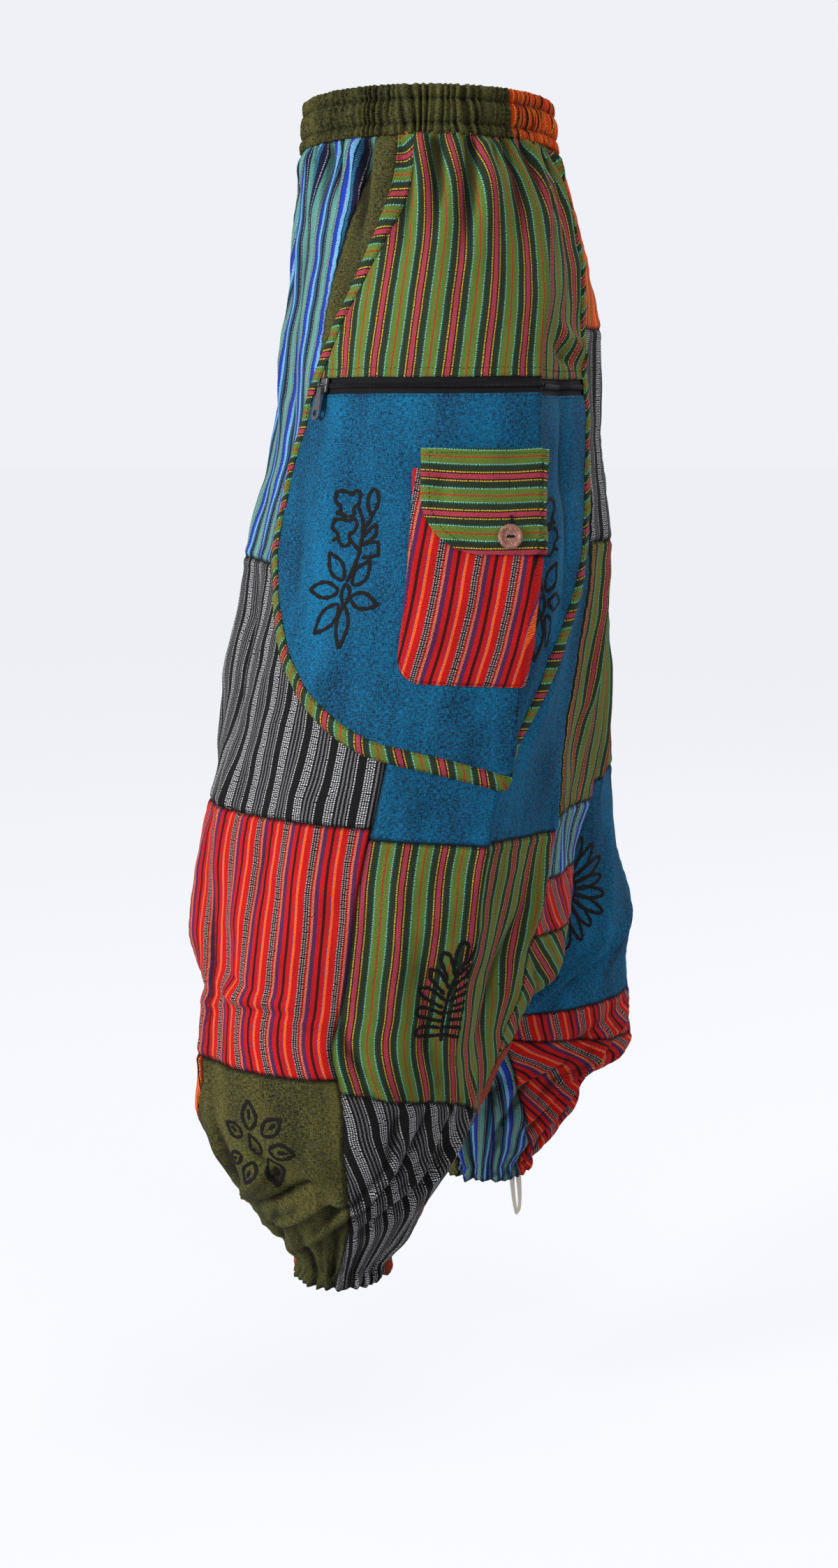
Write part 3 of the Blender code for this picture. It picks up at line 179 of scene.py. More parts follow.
# The largest folds: where each one lies, which way it runs, and how far it stands out or sinks in.
FOLD_COLUMNS = ("across", "drop", "half_width", "half_length", "lean_deg", "height")
LEFT_FOLDS = (
    (-0.215, 0.690, 0.016, 0.070, 3, -0.008),
    (-0.290, 0.640, 0.030, 0.090, 0, 0.006),
    (-0.130, 0.850, 0.014, 0.050, 62, -0.009),
    (-0.100, 0.815, 0.016, 0.050, 66, 0.008),
    (-0.045, 0.870, 0.012, 0.055, -38, -0.007),
    (-0.005, 0.855, 0.014, 0.055, -42, 0.006),
    (-0.180, 0.700, 0.011, 0.060, 86, 0.004),
    (0.060, 0.455, 0.016, 0.060, -20, 0.008),
    (-0.400, 0.450, 0.026, 0.140, 4, -0.007),
    (0.170, 0.560, 0.026, 0.100, 14, -0.007),
)
RIGHT_FOLDS = (
    (-0.060, 0.835, 0.016, 0.070, 58, 0.009),
    (0.040, 0.800, 0.015, 0.060, 72, 0.007),
    (-0.130, 0.820, 0.018, 0.060, 50, -0.008),
    (0.080, 0.640, 0.022, 0.110, -12, -0.006),
    (-0.190, 0.600, 0.028, 0.130, 6, 0.006),
    (0.150, 0.470, 0.024, 0.120, 8, -0.006),
    (-0.300, 0.480, 0.026, 0.120, -5, -0.007),
)


def smooth_step(value):
    value = np.clip(value, 0.0, 1.0)
    return value * value * (3 - 2 * value)


def through(xs, ys, x):
    """A smooth curve through the rows of a table that does not overshoot them."""
    step = np.diff(xs)
    slope = np.diff(ys) / step
    tangent = np.empty_like(ys)
    product = slope[:-1] * slope[1:]
    total = np.where(np.abs(slope[:-1] + slope[1:]) < 1e-12, 1.0, slope[:-1] + slope[1:])
    tangent[1:-1] = np.where(product > 0, 2 * product / total, 0.0)
    tangent[0] = slope[0]
    tangent[-1] = slope[-1]
    k = np.clip(np.searchsorted(xs, x) - 1, 0, len(xs) - 2)
    t = (x - xs[k]) / step[k]
    start = (2 * t**3 - 3 * t**2 + 1) * ys[k] + (t**3 - 2 * t**2 + t) * step[k] * tangent[k]
    end = (3 * t**2 - 2 * t**3) * ys[k + 1] + (t**3 - t**2) * step[k] * tangent[k + 1]
    return start + end


def arc_share(x, y):
    run = np.concatenate([[0.0], np.cumsum(np.hypot(np.diff(x), np.diff(y)))])
    return run / run[-1], run[-1]


class Leg:
    """One leg's cloth surface, read at (round, drop) or at (across, drop)."""

    ROWS = 321
    STEPS = 721

    def __init__(self, sections, folds, side):
        self.side = side
        table = np.array(sections, float)
        self.length = table[-1, 0]
        self.drops = np.linspace(0.0, self.length, self.ROWS)
        column = {
            name: through(table[:, 0], table[:, i], self.drops)
            for i, name in enumerate(SECTION_COLUMNS)
        }
        joined = self.drops >= CROTCH_DROP
        for back, front in (("back_x", "front_x"), ("back_y", "front_y")):
            column[back] = np.where(joined, column[front], column[back])
        self.crease = column["crease"]
        self.girth = np.empty(self.ROWS)
        self.points = np.empty((self.ROWS, self.STEPS, 3))
        for row in range(self.ROWS):
            here = {name: values[row] for name, values in column.items()}
            self.points[row], self.girth[row] = self.ring(here)
        self.normals = self.find_normals()
        self.fold(folds)
        self.normals = self.find_normals()

    def ring(self, row):
        front = math.radians(row["front_turn"])
        back = math.radians(row["back_turn"])
        turn = np.linspace(-front, back, self.STEPS)
        x = row["centre_x"] + row["half_x"] * np.cos(turn)
        y = row["centre_y"] + row["half_y"] * np.sin(turn)
        bend = math.radians(MIDDLE_BEND_DEG)
        to_front = smooth_step((-turn - bend) / (front - bend))
        to_back = smooth_step((turn - bend) / (back - bend))
        start_x, start_y, end_x, end_y = x[0], y[0], x[-1], y[-1]
        x = x + to_front * (row["front_x"] - start_x) + to_back * (row["back_x"] - end_x)
        y = y + to_front * (row["front_y"] - start_y) + to_back * (row["back_y"] - end_y)
        share, girth = arc_share(x, y)
        from_crease = (share - row["crease"]) * girth
        ridge = row["ridge"] * np.where(
            from_crease < 0, np.exp(from_crease / FRONT_EASE), np.exp(-from_crease / BACK_EASE)
        )
        along_x, along_y = np.gradient(x), np.gradient(y)
        size = np.hypot(along_x, along_y)
        x = x + ridge * along_y / size
        y = y - ridge * along_x / size
        share, girth = arc_share(x, y)
        z = -row["drop"] - row["lift"] * (y - row["centre_y"])
        wanted = np.linspace(0.0, 1.0, self.STEPS)
        wanted = np.interp(wanted, [0.0, CREASE_ROUND, 1.0], [0.0, row["crease"], 1.0])
        x, y, z = (np.interp(wanted, share, values) for values in (x, y, z))
        return np.stack([self.side * x, y, z], axis=1), girth

    def find_normals(self):
        normal = np.cross(np.gradient(self.points, axis=0), np.gradient(self.points, axis=1))
        normal *= self.side / np.linalg.norm(normal, axis=2, keepdims=True)
        closed = np.linalg.norm(self.points[:, 0] - self.points[:, -1], axis=1) < CLOSED_WITHIN
        shared = normal[closed, 0] + normal[closed, -1]
        shared /= np.linalg.norm(shared, axis=1, keepdims=True)
        normal[closed, 0] = shared
        normal[closed, -1] = shared
        return normal

    def fold(self, folds):
        """Moves the surface out or in along each fold's own ridge line."""
        round_, drop = np.meshgrid(np.linspace(0, 1, self.STEPS), self.drops)
        across = self.across_of(round_, drop)
        height = np.zeros_like(across)
        for row in folds:
            fold = dict(zip(FOLD_COLUMNS, row))
            lean = math.radians(fold["lean_deg"])
            du = across - fold["across"]
            dv = drop - fold["drop"]
            along = du * math.sin(lean) + dv * math.cos(lean)
            aside = du * math.cos(lean) - dv * math.sin(lean)
            shape = np.exp(-(aside / fold["half_width"]) ** 2 - (along / fold["half_length"]) ** 2)
            height += fold["height"] * shape
        height *= smooth_step(round_ / FOLD_FADE_ROUND) * smooth_step((1 - round_) / FOLD_FADE_ROUND)
        self.points = self.points + height[..., None] * self.normals

    def across_of(self, round_, drop):
        girth = np.interp(drop, self.drops, self.girth)
        crease = np.interp(drop, self.drops, self.crease)
        share = np.interp(round_, [0.0, CREASE_ROUND], [0.0, 1.0]) * crease
        share = share + np.interp(round_, [CREASE_ROUND, 1.0], [0.0, 1.0]) * (1 - crease)
        return (share - crease) * girth

    def round_of(self, across, drop):
        girth = np.interp(drop, self.drops, self.girth)
        crease = np.interp(drop, self.drops, self.crease)
        share = across / girth
        before = CREASE_ROUND * (1 + share / crease)
        after = CREASE_ROUND + (1 - CREASE_ROUND) * share / (1 - crease)
        return np.where(across < 0, before, after)

    def sample(self, table, round_, drop):
        row = np.clip(drop / self.length * (self.ROWS - 1), 0, self.ROWS - 1.0001)
        step = np.clip(round_ * (self.STEPS - 1), 0, self.STEPS - 1.0001)
        i, j = row.astype(int), step.astype(int)
        a, b = (row - i)[..., None], (step - j)[..., None]
        above = table[i, j] * (1 - b) + table[i, j + 1] * b
        below = table[i + 1, j] * (1 - b) + table[i + 1, j + 1] * b
        return above * (1 - a) + below * a

    def at(self, round_, drop, out=0.0):
        """Points of the leg's surface, moved out by a distance and kept on its own side of the middle."""
        round_, drop = np.broadcast_arrays(np.asarray(round_, float), np.asarray(drop, float))
        normal = self.sample(self.normals, round_, drop)
        normal = normal / np.linalg.norm(normal, axis=-1, keepdims=True)
        form = self.sample(self.points, round_, drop)
        points = form + np.asarray(out)[..., None] * normal
        points[..., 0] = self.side * np.maximum(self.side * points[..., 0], MID_GAP)
        at_middle_seam = (np.abs(round_ - 0.5) > 0.49999) & (np.abs(form[..., 0]) < 2 * MID_GAP)
        points[..., 0] = np.where(at_middle_seam, 0.0, points[..., 0])
        return points


def seam_round(seam, drop):
    """Where a seam that runs down the leg lies at each depth."""
    table = np.array(seam, float)
    return through(table[:, 0], table[:, 1], drop)


# The cotton's fall on the body: beside the large folds, the cloth has pleats that fan out below the
# waistband, gathers that run into the elastic cuffs, a tuck that stands behind each side crease, and
# many small soft creases, none of them equal.
CREASES = {
    1: (
        (-0.300, 0.180, 0.012, 0.080, 2, 0.0035), (-0.262, 0.250, 0.014, 0.110, -3, -0.0030),
        (-0.330, 0.330, 0.018, 0.130, 1, 0.0040), (-0.285, 0.440, 0.012, 0.090, 6, -0.0035),
        (-0.352, 0.520, 0.016, 0.100, -4, 0.0040), (-0.240, 0.560, 0.012, 0.060, 10, 0.0025),
        (-0.150, 0.540, 0.016, 0.030, 80, 0.0020), (-0.045, 0.545, 0.014, 0.050, 84, -0.0018),
        (-0.165, 0.300, 0.016, 0.075, -4, 0.0022), (-0.198, 0.350, 0.012, 0.060, 8, -0.0020),
        (-0.120, 0.262, 0.010, 0.040, 14, 0.0018), (-0.148, 0.440, 0.014, 0.045, -28, 0.0020),
        (-0.050, 0.478, 0.010, 0.045, 76, 0.0016), (0.030, 0.400, 0.010, 0.060, -12, 0.0025),
        (0.055, 0.300, 0.010, 0.075, 5, -0.0028), (0.070, 0.195, 0.006, 0.026, 62, 0.0030),
        (0.052, 0.203, 0.005, 0.022, 70, -0.0026), (0.045, 0.188, 0.005, 0.018, 55, 0.0018),
        (-0.232, 0.690, 0.0045, 0.040, 3, -0.0030), (-0.196, 0.702, 0.0045, 0.020, 84, 0.0024),
        (-0.168, 0.709, 0.0040, 0.024, 94, -0.0022), (-0.225, 0.715, 0.0045, 0.020, 98, 0.0024),
        (-0.145, 0.700, 0.0040, 0.018, 80, 0.0018), (-0.262, 0.706, 0.0050, 0.016, 88, -0.0026),
        (-0.128, 0.712, 0.0035, 0.016, 92, 0.0018), (-0.188, 0.690, 0.0035, 0.022, 82, -0.0016),
        (-0.268, 0.650, 0.010, 0.060, -4, 0.0030), (-0.140, 0.630, 0.012, 0.070, 3, 0.0018),
        (-0.180, 0.600, 0.010, 0.050, -2, -0.0016), (-0.090, 0.735, 0.008, 0.030, 20, -0.0026),
        (-0.062, 0.640, 0.014, 0.070, 4, 0.0022), (-0.030, 0.720, 0.010, 0.060, 12, -0.0024),
        (-0.070, 0.770, 0.007, 0.030, 40, 0.0026), (-0.105, 0.758, 0.0045, 0.020, 74, -0.0022),
        (-0.125, 0.872, 0.006, 0.032, -52, 0.0055), (-0.150, 0.862, 0.005, 0.030, -58, -0.0048),
        (-0.112, 0.846, 0.007, 0.034, 58, 0.0045), (-0.135, 0.900, 0.006, 0.030, 30, -0.0040),
        (-0.165, 0.838, 0.008, 0.040, 44, -0.0034), (-0.190, 0.862, 0.008, 0.040, -34, 0.0040),
        (-0.212, 0.840, 0.009, 0.050, 22, -0.0040), (-0.235, 0.790, 0.010, 0.060, 10, 0.0030),
        (-0.080, 0.850, 0.005, 0.045, -22, 0.0050), (-0.060, 0.842, 0.0045, 0.050, -26, -0.0046),
        (-0.042, 0.850, 0.005, 0.045, -30, 0.0048), (-0.028, 0.838, 0.0045, 0.045, -34, -0.0040),
        (-0.012, 0.846, 0.005, 0.040, -38, 0.0042), (-0.070, 0.812, 0.006, 0.030, -16, -0.0026),
        (0.020, 0.800, 0.008, 0.050, -30, 0.0032), (0.060, 0.700, 0.012, 0.070, -14, -0.0040),
        (0.100, 0.620, 0.010, 0.060, -10, 0.0040), (0.140, 0.700, 0.012, 0.050, 40, -0.0040),
        (0.160, 0.420, 0.012, 0.110, 4, 0.0040), (0.190, 0.300, 0.014, 0.120, -2, -0.0032),
        (0.150, 0.200, 0.012, 0.080, 3, 0.0028), (0.205, 0.500, 0.012, 0.080, 8, 0.0030),
        (0.150, 0.810, 0.010, 0.040, 30, 0.0036), (-0.400, 0.700, 0.014, 0.080, 12, 0.0045),
        (-0.440, 0.600, 0.012, 0.070, -18, -0.0040), (-0.350, 0.820, 0.010, 0.050, -24, 0.0045),
    ),
    -1: (
        (-0.300, 0.190, 0.012, 0.080, -2, 0.0035), (-0.255, 0.260, 0.014, 0.110, 4, -0.0030),
        (-0.330, 0.350, 0.018, 0.130, -2, 0.0040), (-0.280, 0.450, 0.012, 0.090, 5, -0.0035),
        (-0.352, 0.520, 0.016, 0.100, 4, 0.0040), (-0.150, 0.545, 0.016, 0.040, 78, 0.0020),
        (-0.170, 0.310, 0.016, 0.075, 3, 0.0022), (-0.110, 0.360, 0.012, 0.060, -6, -0.0020),
        (-0.040, 0.300, 0.014, 0.080, 4, 0.0022), (0.035, 0.410, 0.010, 0.060, 10, 0.0025),
        (0.060, 0.300, 0.010, 0.075, -5, -0.0028), (-0.200, 0.650, 0.014, 0.090, 6, 0.0040),
        (-0.120, 0.700, 0.012, 0.070, -8, -0.0035), (-0.050, 0.640, 0.014, 0.080, 4, 0.0035),
        (0.020, 0.720, 0.012, 0.060, 14, -0.0035), (0.150, 0.420, 0.012, 0.110, -4, 0.0040),
        (0.190, 0.300, 0.014, 0.120, 2, -0.0032), (0.205, 0.500, 0.010, 0.080, -6, 0.0030),
        (0.215, 0.742, 0.007, 0.040, 64, 0.0030), (0.175, 0.728, 0.007, 0.045, 60, -0.0032),
        (0.155, 0.700, 0.008, 0.050, 56, 0.0030), (0.230, 0.620, 0.010, 0.050, 20, -0.0026),
        (0.180, 0.640, 0.010, 0.060, 12, 0.0024), (0.125, 0.600, 0.010, 0.090, 2, -0.0035),
        (0.120, 0.790, 0.006, 0.040, 60, 0.0040), (0.165, 0.792, 0.006, 0.040, 70, -0.0035),
        (0.140, 0.835, 0.007, 0.035, -20, 0.0060), (0.118, 0.845, 0.006, 0.040, -16, -0.0055),
        (0.160, 0.850, 0.006, 0.035, -28, -0.0050), (0.098, 0.850, 0.007, 0.035, -8, 0.0055),
        (0.182, 0.845, 0.006, 0.030, -36, 0.0050), (0.075, 0.850, 0.006, 0.040, 4, -0.0045),
        (0.050, 0.860, 0.006, 0.035, 10, 0.0050), (0.020, 0.860, 0.007, 0.040, 6, -0.0045),
        (-0.020, 0.850, 0.007, 0.045, 12, 0.0050), (-0.060, 0.860, 0.006, 0.040, 16, -0.0045),
        (-0.100, 0.850, 0.007, 0.045, 20, 0.0050), (-0.150, 0.860, 0.006, 0.040, 26, -0.0045),
        (-0.200, 0.840, 0.008, 0.050, 30, 0.0045), (-0.400, 0.680, 0.014, 0.080, -12, 0.0045),
        (-0.430, 0.600, 0.012, 0.070, 18, -0.0040), (-0.330, 0.780, 0.010, 0.050, 24, 0.0045),
    ),
}
CREASE_SCALE = 1.9
TUCK_DEPTH = {1: 0.0060, -1: 0.0045}
QUIET_SPOTS = {1: ((-0.021, 0.338, 0.020), (-0.176, 0.2275, 0.018)), -1: ()}


def gathers(round_, drop, edge, count, pitch_jitter, height, reach, spread, seed):
    """Uneven pleats that start at an elastic edge and fan out as they leave it."""
    draw = np.random.default_rng(seed)
    away = np.abs(drop - edge)
    total = np.zeros_like(round_)
    for k in range(count):
        centre = (k + 0.5 + draw.uniform(-pitch_jitter, pitch_jitter)) / count
        width = draw.uniform(0.22, 0.38) / count
        length = reach * draw.uniform(0.45, 1.5)
        lean = draw.uniform(-0.25, 0.25) / count / reach
        size = height * draw.uniform(0.5, 1.25)
        widened = width * (1 + spread * np.minimum(away / reach, 2.0))
        pleat = np.exp(-(((round_ - centre - lean * away) / widened) ** 2))
        total += size * pleat * np.exp(-((away / length) ** 2))
    return total - 0.5 * height * np.exp(-((away / reach) ** 2))


def relief(leg, round_, drop):
    """How far the finished cloth stands out of the leg's smooth form."""
    across = leg.across_of(round_, drop)
    height = np.zeros_like(across)
    for centre, level, half_width, half_length, lean_deg, size in CREASES[leg.side]:
        lean = math.radians(lean_deg)
        du, dv = across - centre, drop - level
        along = du * math.sin(lean) + dv * math.cos(lean)
        aside = du * math.cos(lean) - dv * math.sin(lean)
        height += CREASE_SCALE * size * np.exp(-np.abs(aside / half_width) ** 1.6 - (along / half_length) ** 2)
    seed = 40 + leg.side
    pleats = gathers(round_, drop, 0.036, 28, 0.36, 0.0062, 0.050, 0.35, seed)
    pleats -= gathers(round_, drop, 0.036, 17, 0.36, 0.0095, 0.085, 0.15, seed + 5)
    height += pleats * smooth_step((drop - 0.034) / 0.014)
    height += gathers(round_, drop, leg.length - 0.014, 32, 0.30, 0.0036, 0.050, 0.6, seed + 10)
    height += gathers(round_, drop, leg.length - 0.014, 14, 0.30, 0.0052, 0.085, 0.8, seed + 20)
    hem = leg.length - 0.013
    ruffle = np.sin(across * math.tau / 0.0075 + 2.2 * np.sin(across * 47)) * smooth_step((drop - hem + 0.006) / 0.012)
    height += 0.0016 * ruffle - 0.0024 * np.exp(-(((drop - hem) / 0.0045) ** 2))
    draw = np.random.default_rng(seed + 30)
    for scale in (0.13, 0.09, 0.065, 0.048, 0.036, 0.027):
        angle, phase = draw.uniform(0, math.pi), draw.uniform(0, math.tau, 2)
        first = (across * math.cos(angle) + drop * math.sin(angle)) * math.tau / scale
        second = (across * math.sin(angle) - drop * math.cos(angle)) * math.tau / (scale * 1.7)
        height += 0.009 * scale * np.sin(first + phase[0] + 0.8 * np.sin(second * 0.6)) * np.sin(second + phase[1])
    tuck = smooth_step(across / 0.0045) * np.exp(-np.maximum(across, 0) / 0.060)
    height -= TUCK_DEPTH[leg.side] * tuck * smooth_step((drop - 0.10) / 0.10) * smooth_step((0.80 - drop) / 0.12)
    for centre, level, radius in QUIET_SPOTS[leg.side]:
        far_off = np.hypot(across - centre, drop - level) / radius
        height *= smooth_step(far_off - 0.55)
    height *= smooth_step(round_ / 0.02) * smooth_step((1 - round_) / 0.02)
    return height


left_leg = Leg(LEFT_SECTIONS, LEFT_FOLDS, 1)
right_leg = Leg(RIGHT_SECTIONS, RIGHT_FOLDS, -1)


def painted_fold_shade(leg, round_, drop):
    """How deep in a fold each point lies, from 0 to 1, used as painted shade that darkens the hollows, with a painted
    shadow line just behind the side crease.
    """
    reach = 0.006 / np.interp(drop, leg.drops, leg.girth)
    beside = relief(leg, np.clip(round_ - reach, 0, 1), drop) + relief(leg, np.clip(round_ + reach, 0, 1), drop)
    # Painted shade: darker where the relief on both sides stands higher than here.
    shade = 0.95 * smooth_step((beside / 2 - relief(leg, round_, drop) - 0.0001) / 0.0021)
    behind = leg.across_of(round_, drop)
    # Painted shadow: a dark line just behind the side crease, fading out behind it.
    painted_crease_shadow = (
        0.6 * np.exp(-(((behind - 0.0016) / 0.0021) ** 2))
        + 0.25 * smooth_step(behind / 0.003) * np.exp(-behind / 0.016)
    )
    return np.maximum(shade, painted_crease_shadow * smooth_step((drop - 0.09) / 0.05) * smooth_step((0.62 - drop) / 0.08))


def on_cloth(leg, across, drop, out):
    """Points that lie on the finished cloth, a distance above the leg's smooth form and its creases."""
    across, drop = np.broadcast_arrays(np.asarray(across, float), np.asarray(drop, float))
    round_ = leg.round_of(across, drop)
    return leg.at(round_, drop, relief(leg, round_, drop) + out)


# The tape loop: a natural cotton tape, 5.5 mm wide and 1 mm thick, whose two ends are sewn inside the
# right cuff. It hangs as a loop for tying the cuff up, and both its ends go back into the garment.
LOOP_POINTS = (
    (-0.006, 0.010), (-0.006, -0.002), (-0.004, -0.016), (0.000, -0.030), (0.004, -0.037),
    (0.009, -0.035), (0.010, -0.026), (0.009, -0.014), (0.007, -0.002), (0.006, 0.010),
)
LOOP_ROUND_DEG = 62
LOOP_INSET = 0.0060
TAPE_WIDTH = 0.0055
TAPE_THICKNESS = 0.0010
turn = math.radians(LOOP_ROUND_DEG)
cuff_centre = right_leg.points[-1].mean(axis=0)
cuff_x = right_leg.points[-1][:, 0].max() - cuff_centre[0] - LOOP_INSET
cuff_y = right_leg.points[-1][:, 1].max() - cuff_centre[1] - LOOP_INSET
loop_start = cuff_centre + np.array([cuff_x * math.cos(turn), cuff_y * math.sin(turn), 0.0])
loop_along = np.array([-cuff_x * math.sin(turn), cuff_y * math.cos(turn), 0.0])
loop_along /= np.linalg.norm(loop_along)
control = np.array([loop_start + loop_along * a + np.array([0.0, 0.0, z]) for a, z in LOOP_POINTS])
run = np.concatenate([[0.0], np.cumsum(np.linalg.norm(np.diff(control, axis=0), axis=1))])
even = np.linspace(0, run[-1], 90)
loop_route = np.stack([through(run, control[:, i], even) for i in range(3)], axis=1)


def add_node(tree, kind, inputs, **settings):
    """Adds a node; inputs gives each socket a value, or another node's output to read."""
    made = tree.nodes.new(kind)
    for key, value in settings.items():
        setattr(made, key, value)
    for key, value in inputs.items():
        if isinstance(value, bpy.types.NodeSocket):
            tree.links.new(value, made.inputs[key])
        else:
            made.inputs[key].default_value = value
    return made


def maths(tree, operation, first, second=0.0, third=0.0):
    inputs = {0: first, 1: second}
    if operation == "MULTIPLY_ADD":
        inputs[2] = third
    return add_node(tree, "ShaderNodeMath", inputs, operation=operation).outputs[0]


def rgb(red, green, blue):
    """A dye's colour, given as it looks on a screen, as light the shader can use."""
    shares = np.array([red, green, blue]) / 255
    linear = np.where(shares <= 0.04045, shares / 12.92, ((shares + 0.055) / 1.055) ** 2.4)
    return (*(float(value) for value in linear), 1.0)


def blank_material(name, roughness, sheen=0.0, metallic=0.0):
    made = bpy.data.materials.new(name)
    made.use_nodes = True
    shader = made.node_tree.nodes["Principled BSDF"]
    shader.inputs["Roughness"].default_value = roughness
    shader.inputs["Metallic"].default_value = metallic
    shader.inputs["Sheen Weight"].default_value = sheen
    shader.inputs["Specular IOR Level"].default_value = 0.5 if metallic else 0.22
    return made, made.node_tree, shader


def uv_axes(tree):
    source = add_node(tree, "ShaderNodeUVMap", {}, uv_map="weave")
    axes = add_node(tree, "ShaderNodeSeparateXYZ", {0: source.outputs[0]})
    return source.outputs[0], axes.outputs[0], axes.outputs[1]


def thread_bump(tree, shader, uv, u, v, pitch, depth):
    """A plain weave's bump: warp and weft ribs with uneven yarn."""
    warp = maths(tree, "SINE", maths(tree, "MULTIPLY", u, math.tau / pitch))
    weft = maths(tree, "SINE", maths(tree, "MULTIPLY", v, math.tau / pitch))
    yarn = add_node(tree, "ShaderNodeTexNoise", {"Vector": uv, "Scale": 700.0, "Detail": 2.0}).outputs[0]
    height = maths(tree, "MULTIPLY_ADD", maths(tree, "MULTIPLY", warp, weft), 0.5, yarn)
    bump = add_node(tree, "ShaderNodeBump", {"Strength": 0.7, "Distance": depth, "Height": height})
    tree.links.new(bump.outputs[0], shader.inputs["Normal"])


def mixed(tree, factor, first, second, blend="MIX"):
    made = add_node(tree, "ShaderNodeMix", {0: factor, 6: first, 7: second}, data_type="RGBA", blend_type=blend)
    return made.outputs[2]


cream_tape, tape_tree, tape_shader = blank_material("cream_tape", 0.9, 0.2)
tape_uv, tape_u, tape_v = uv_axes(tape_tree)
tape_twill = maths(tape_tree, "FRACT", maths(tape_tree, "MULTIPLY", maths(tape_tree, "ADD", tape_u, tape_v), 800.0))
tape_tint = mixed(tape_tree, tape_twill, rgb(196, 186, 168), rgb(232, 226, 212))
tape_tree.links.new(tape_tint, tape_shader.inputs["Base Color"])
thread_bump(tape_tree, tape_shader, tape_uv, tape_u, tape_v, 0.0009, 0.00025)


def finished(name, mesh, finish, body, node=()):
    """Puts a mesh in the scene as a piece that rides on a body and stands for the CAD nodes given."""
    piece = bpy.data.objects.new(name, mesh)
    bpy.context.scene.collection.objects.link(piece)
    if finish:
        mesh.materials.clear()
        mesh.materials.append(finish)
    mesh.shade_smooth()
    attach(piece, body)
    if node:
        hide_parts(*node)
    return piece


def set_weave(mesh, coordinates):
    """Gives each point its place on the flat cloth, in metres."""
    layer = mesh.uv_layers.new(name="weave")
    corners = np.empty(len(mesh.loops), np.int32)
    mesh.loops.foreach_get("vertex_index", corners)
    layer.uv.foreach_set("vector", np.asarray(coordinates, np.float32)[corners].ravel())


tape_mesh = bpy.data.meshes.new("tape_loop")
tangent = np.gradient(loop_route, axis=0)
tangent /= np.linalg.norm(tangent, axis=1, keepdims=True)
loop_face = np.cross(loop_along, [0.0, 0.0, 1.0])
turned = np.linspace(-0.5, 0.6, len(loop_route))[:, None]
wide = np.cross(tangent, loop_face) * np.cos(turned) + loop_face * np.sin(turned)
wide -= (wide * tangent).sum(axis=1, keepdims=True) * tangent
wide /= np.linalg.norm(wide, axis=1, keepdims=True)
thin = np.cross(tangent, wide)
section = [
    (-0.5, -0.35), (-0.42, -0.5), (0.42, -0.5), (0.5, -0.35),
    (0.5, 0.35), (0.42, 0.5), (-0.42, 0.5), (-0.5, 0.35),
]
tape_points = np.array([
    loop_route + wide * x * TAPE_WIDTH + thin * y * TAPE_THICKNESS for x, y in section
]).transpose(1, 0, 2)
sides, count = len(section), len(loop_route)
tape_faces = [
    (i * sides + j, i * sides + (j + 1) % sides, (i + 1) * sides + (j + 1) % sides, (i + 1) * sides + j)
    for i in range(count - 1) for j in range(sides)
]
tape_faces += [tuple(range(sides))[::-1], tuple((count - 1) * sides + j for j in range(sides))]
tape_mesh.from_pydata(tape_points.reshape(-1, 3).tolist(), [], tape_faces)
set_weave(tape_mesh, [(section[j][0] * TAPE_WIDTH, even[i]) for i in range(count) for j in range(sides)])
tape_loop = finished("tape_loop", tape_mesh, cream_tape, "garment", ["cuff_tape_loop"])
tape_shell = bmesh.new()
tape_shell.from_mesh(tape_mesh)
bmesh.ops.recalc_face_normals(tape_shell, faces=tape_shell.faces)
tape_shell.to_mesh(tape_mesh)
tape_shell.free()


# The leg patches: handloom cotton squares and strips, plain-seamed edge to edge with a pressed-open
# allowance and one row of black topstitching beside each seam, so each seam lies in a shallow groove
# and puckers a little. Each leg is one tube of them.
CLOTH_THICKNESS = 0.0009
MESH_PITCH = 0.0034
SEAM_SINK = 0.0009
ALLOWANCE_RISE = 0.0005
PUCKER_HEIGHT = 0.0005
PUCKER_PITCH = 0.0105
GATHERED_ABOVE, GATHERED_BELOW = 0.12, 0.80


def woven_stripes(name, bands, wear=0.10):
    """A striped cloth. Each band is its width in millimetres, its colour, its second thread's colour, and
    how that thread shows: 0 as rungs across the band, 1 as a twill slant."""
    made, tree, shader = blank_material(name, 0.86)
    uv, u, v = uv_axes(tree)
    repeat = sum(band[0] for band in bands) / 1000
    wander = add_node(tree, "ShaderNodeTexNoise", {"Vector": uv, "Scale": 42.0, "Detail": 1.0}).outputs[0]
    strayed = maths(tree, "MULTIPLY_ADD", wander, 0.0010, u)
    across = maths(tree, "FRACT", maths(tree, "DIVIDE", strayed, repeat))
    ramps = []
    for column in (1, 2, 3):
        ramp = add_node(tree, "ShaderNodeValToRGB", {0: across})
        ramp.color_ramp.interpolation = "CONSTANT"
        stops = ramp.color_ramp.elements
        start = 0.0
        for i, band in enumerate(bands):
            stop = stops[0] if i == 0 else stops[1] if i == 1 else stops.new(start)
            stop.position = start
            value = band[column]
            stop.color = rgb(*value) if column < 3 else (value, value, value, 1.0)
            start += band[0] / 1000 / repeat
        ramps.append(ramp.outputs[0])
    slant = maths(tree, "MULTIPLY", maths(tree, "MULTIPLY", ramps[2], strayed), 640.0)
    uneven = add_node(tree, "ShaderNodeTexNoise", {"Vector": uv, "Scale": 300.0, "Detail": 0.0}).outputs[0]
    rung = maths(tree, "MULTIPLY_ADD", uneven, 1.6, maths(tree, "MULTIPLY_ADD", v, 640.0, slant))
    rung = maths(tree, "FRACT", rung)
    second = maths(tree, "GREATER_THAN", rung, 0.5)
    colour = mixed(tree, second, ramps[0], ramps[1])
    aged_with_painted_shade(tree, shader, uv, colour, wear)
    thread_bump(tree, shader, uv, u, v, 0.0010, 0.00022)
    return made


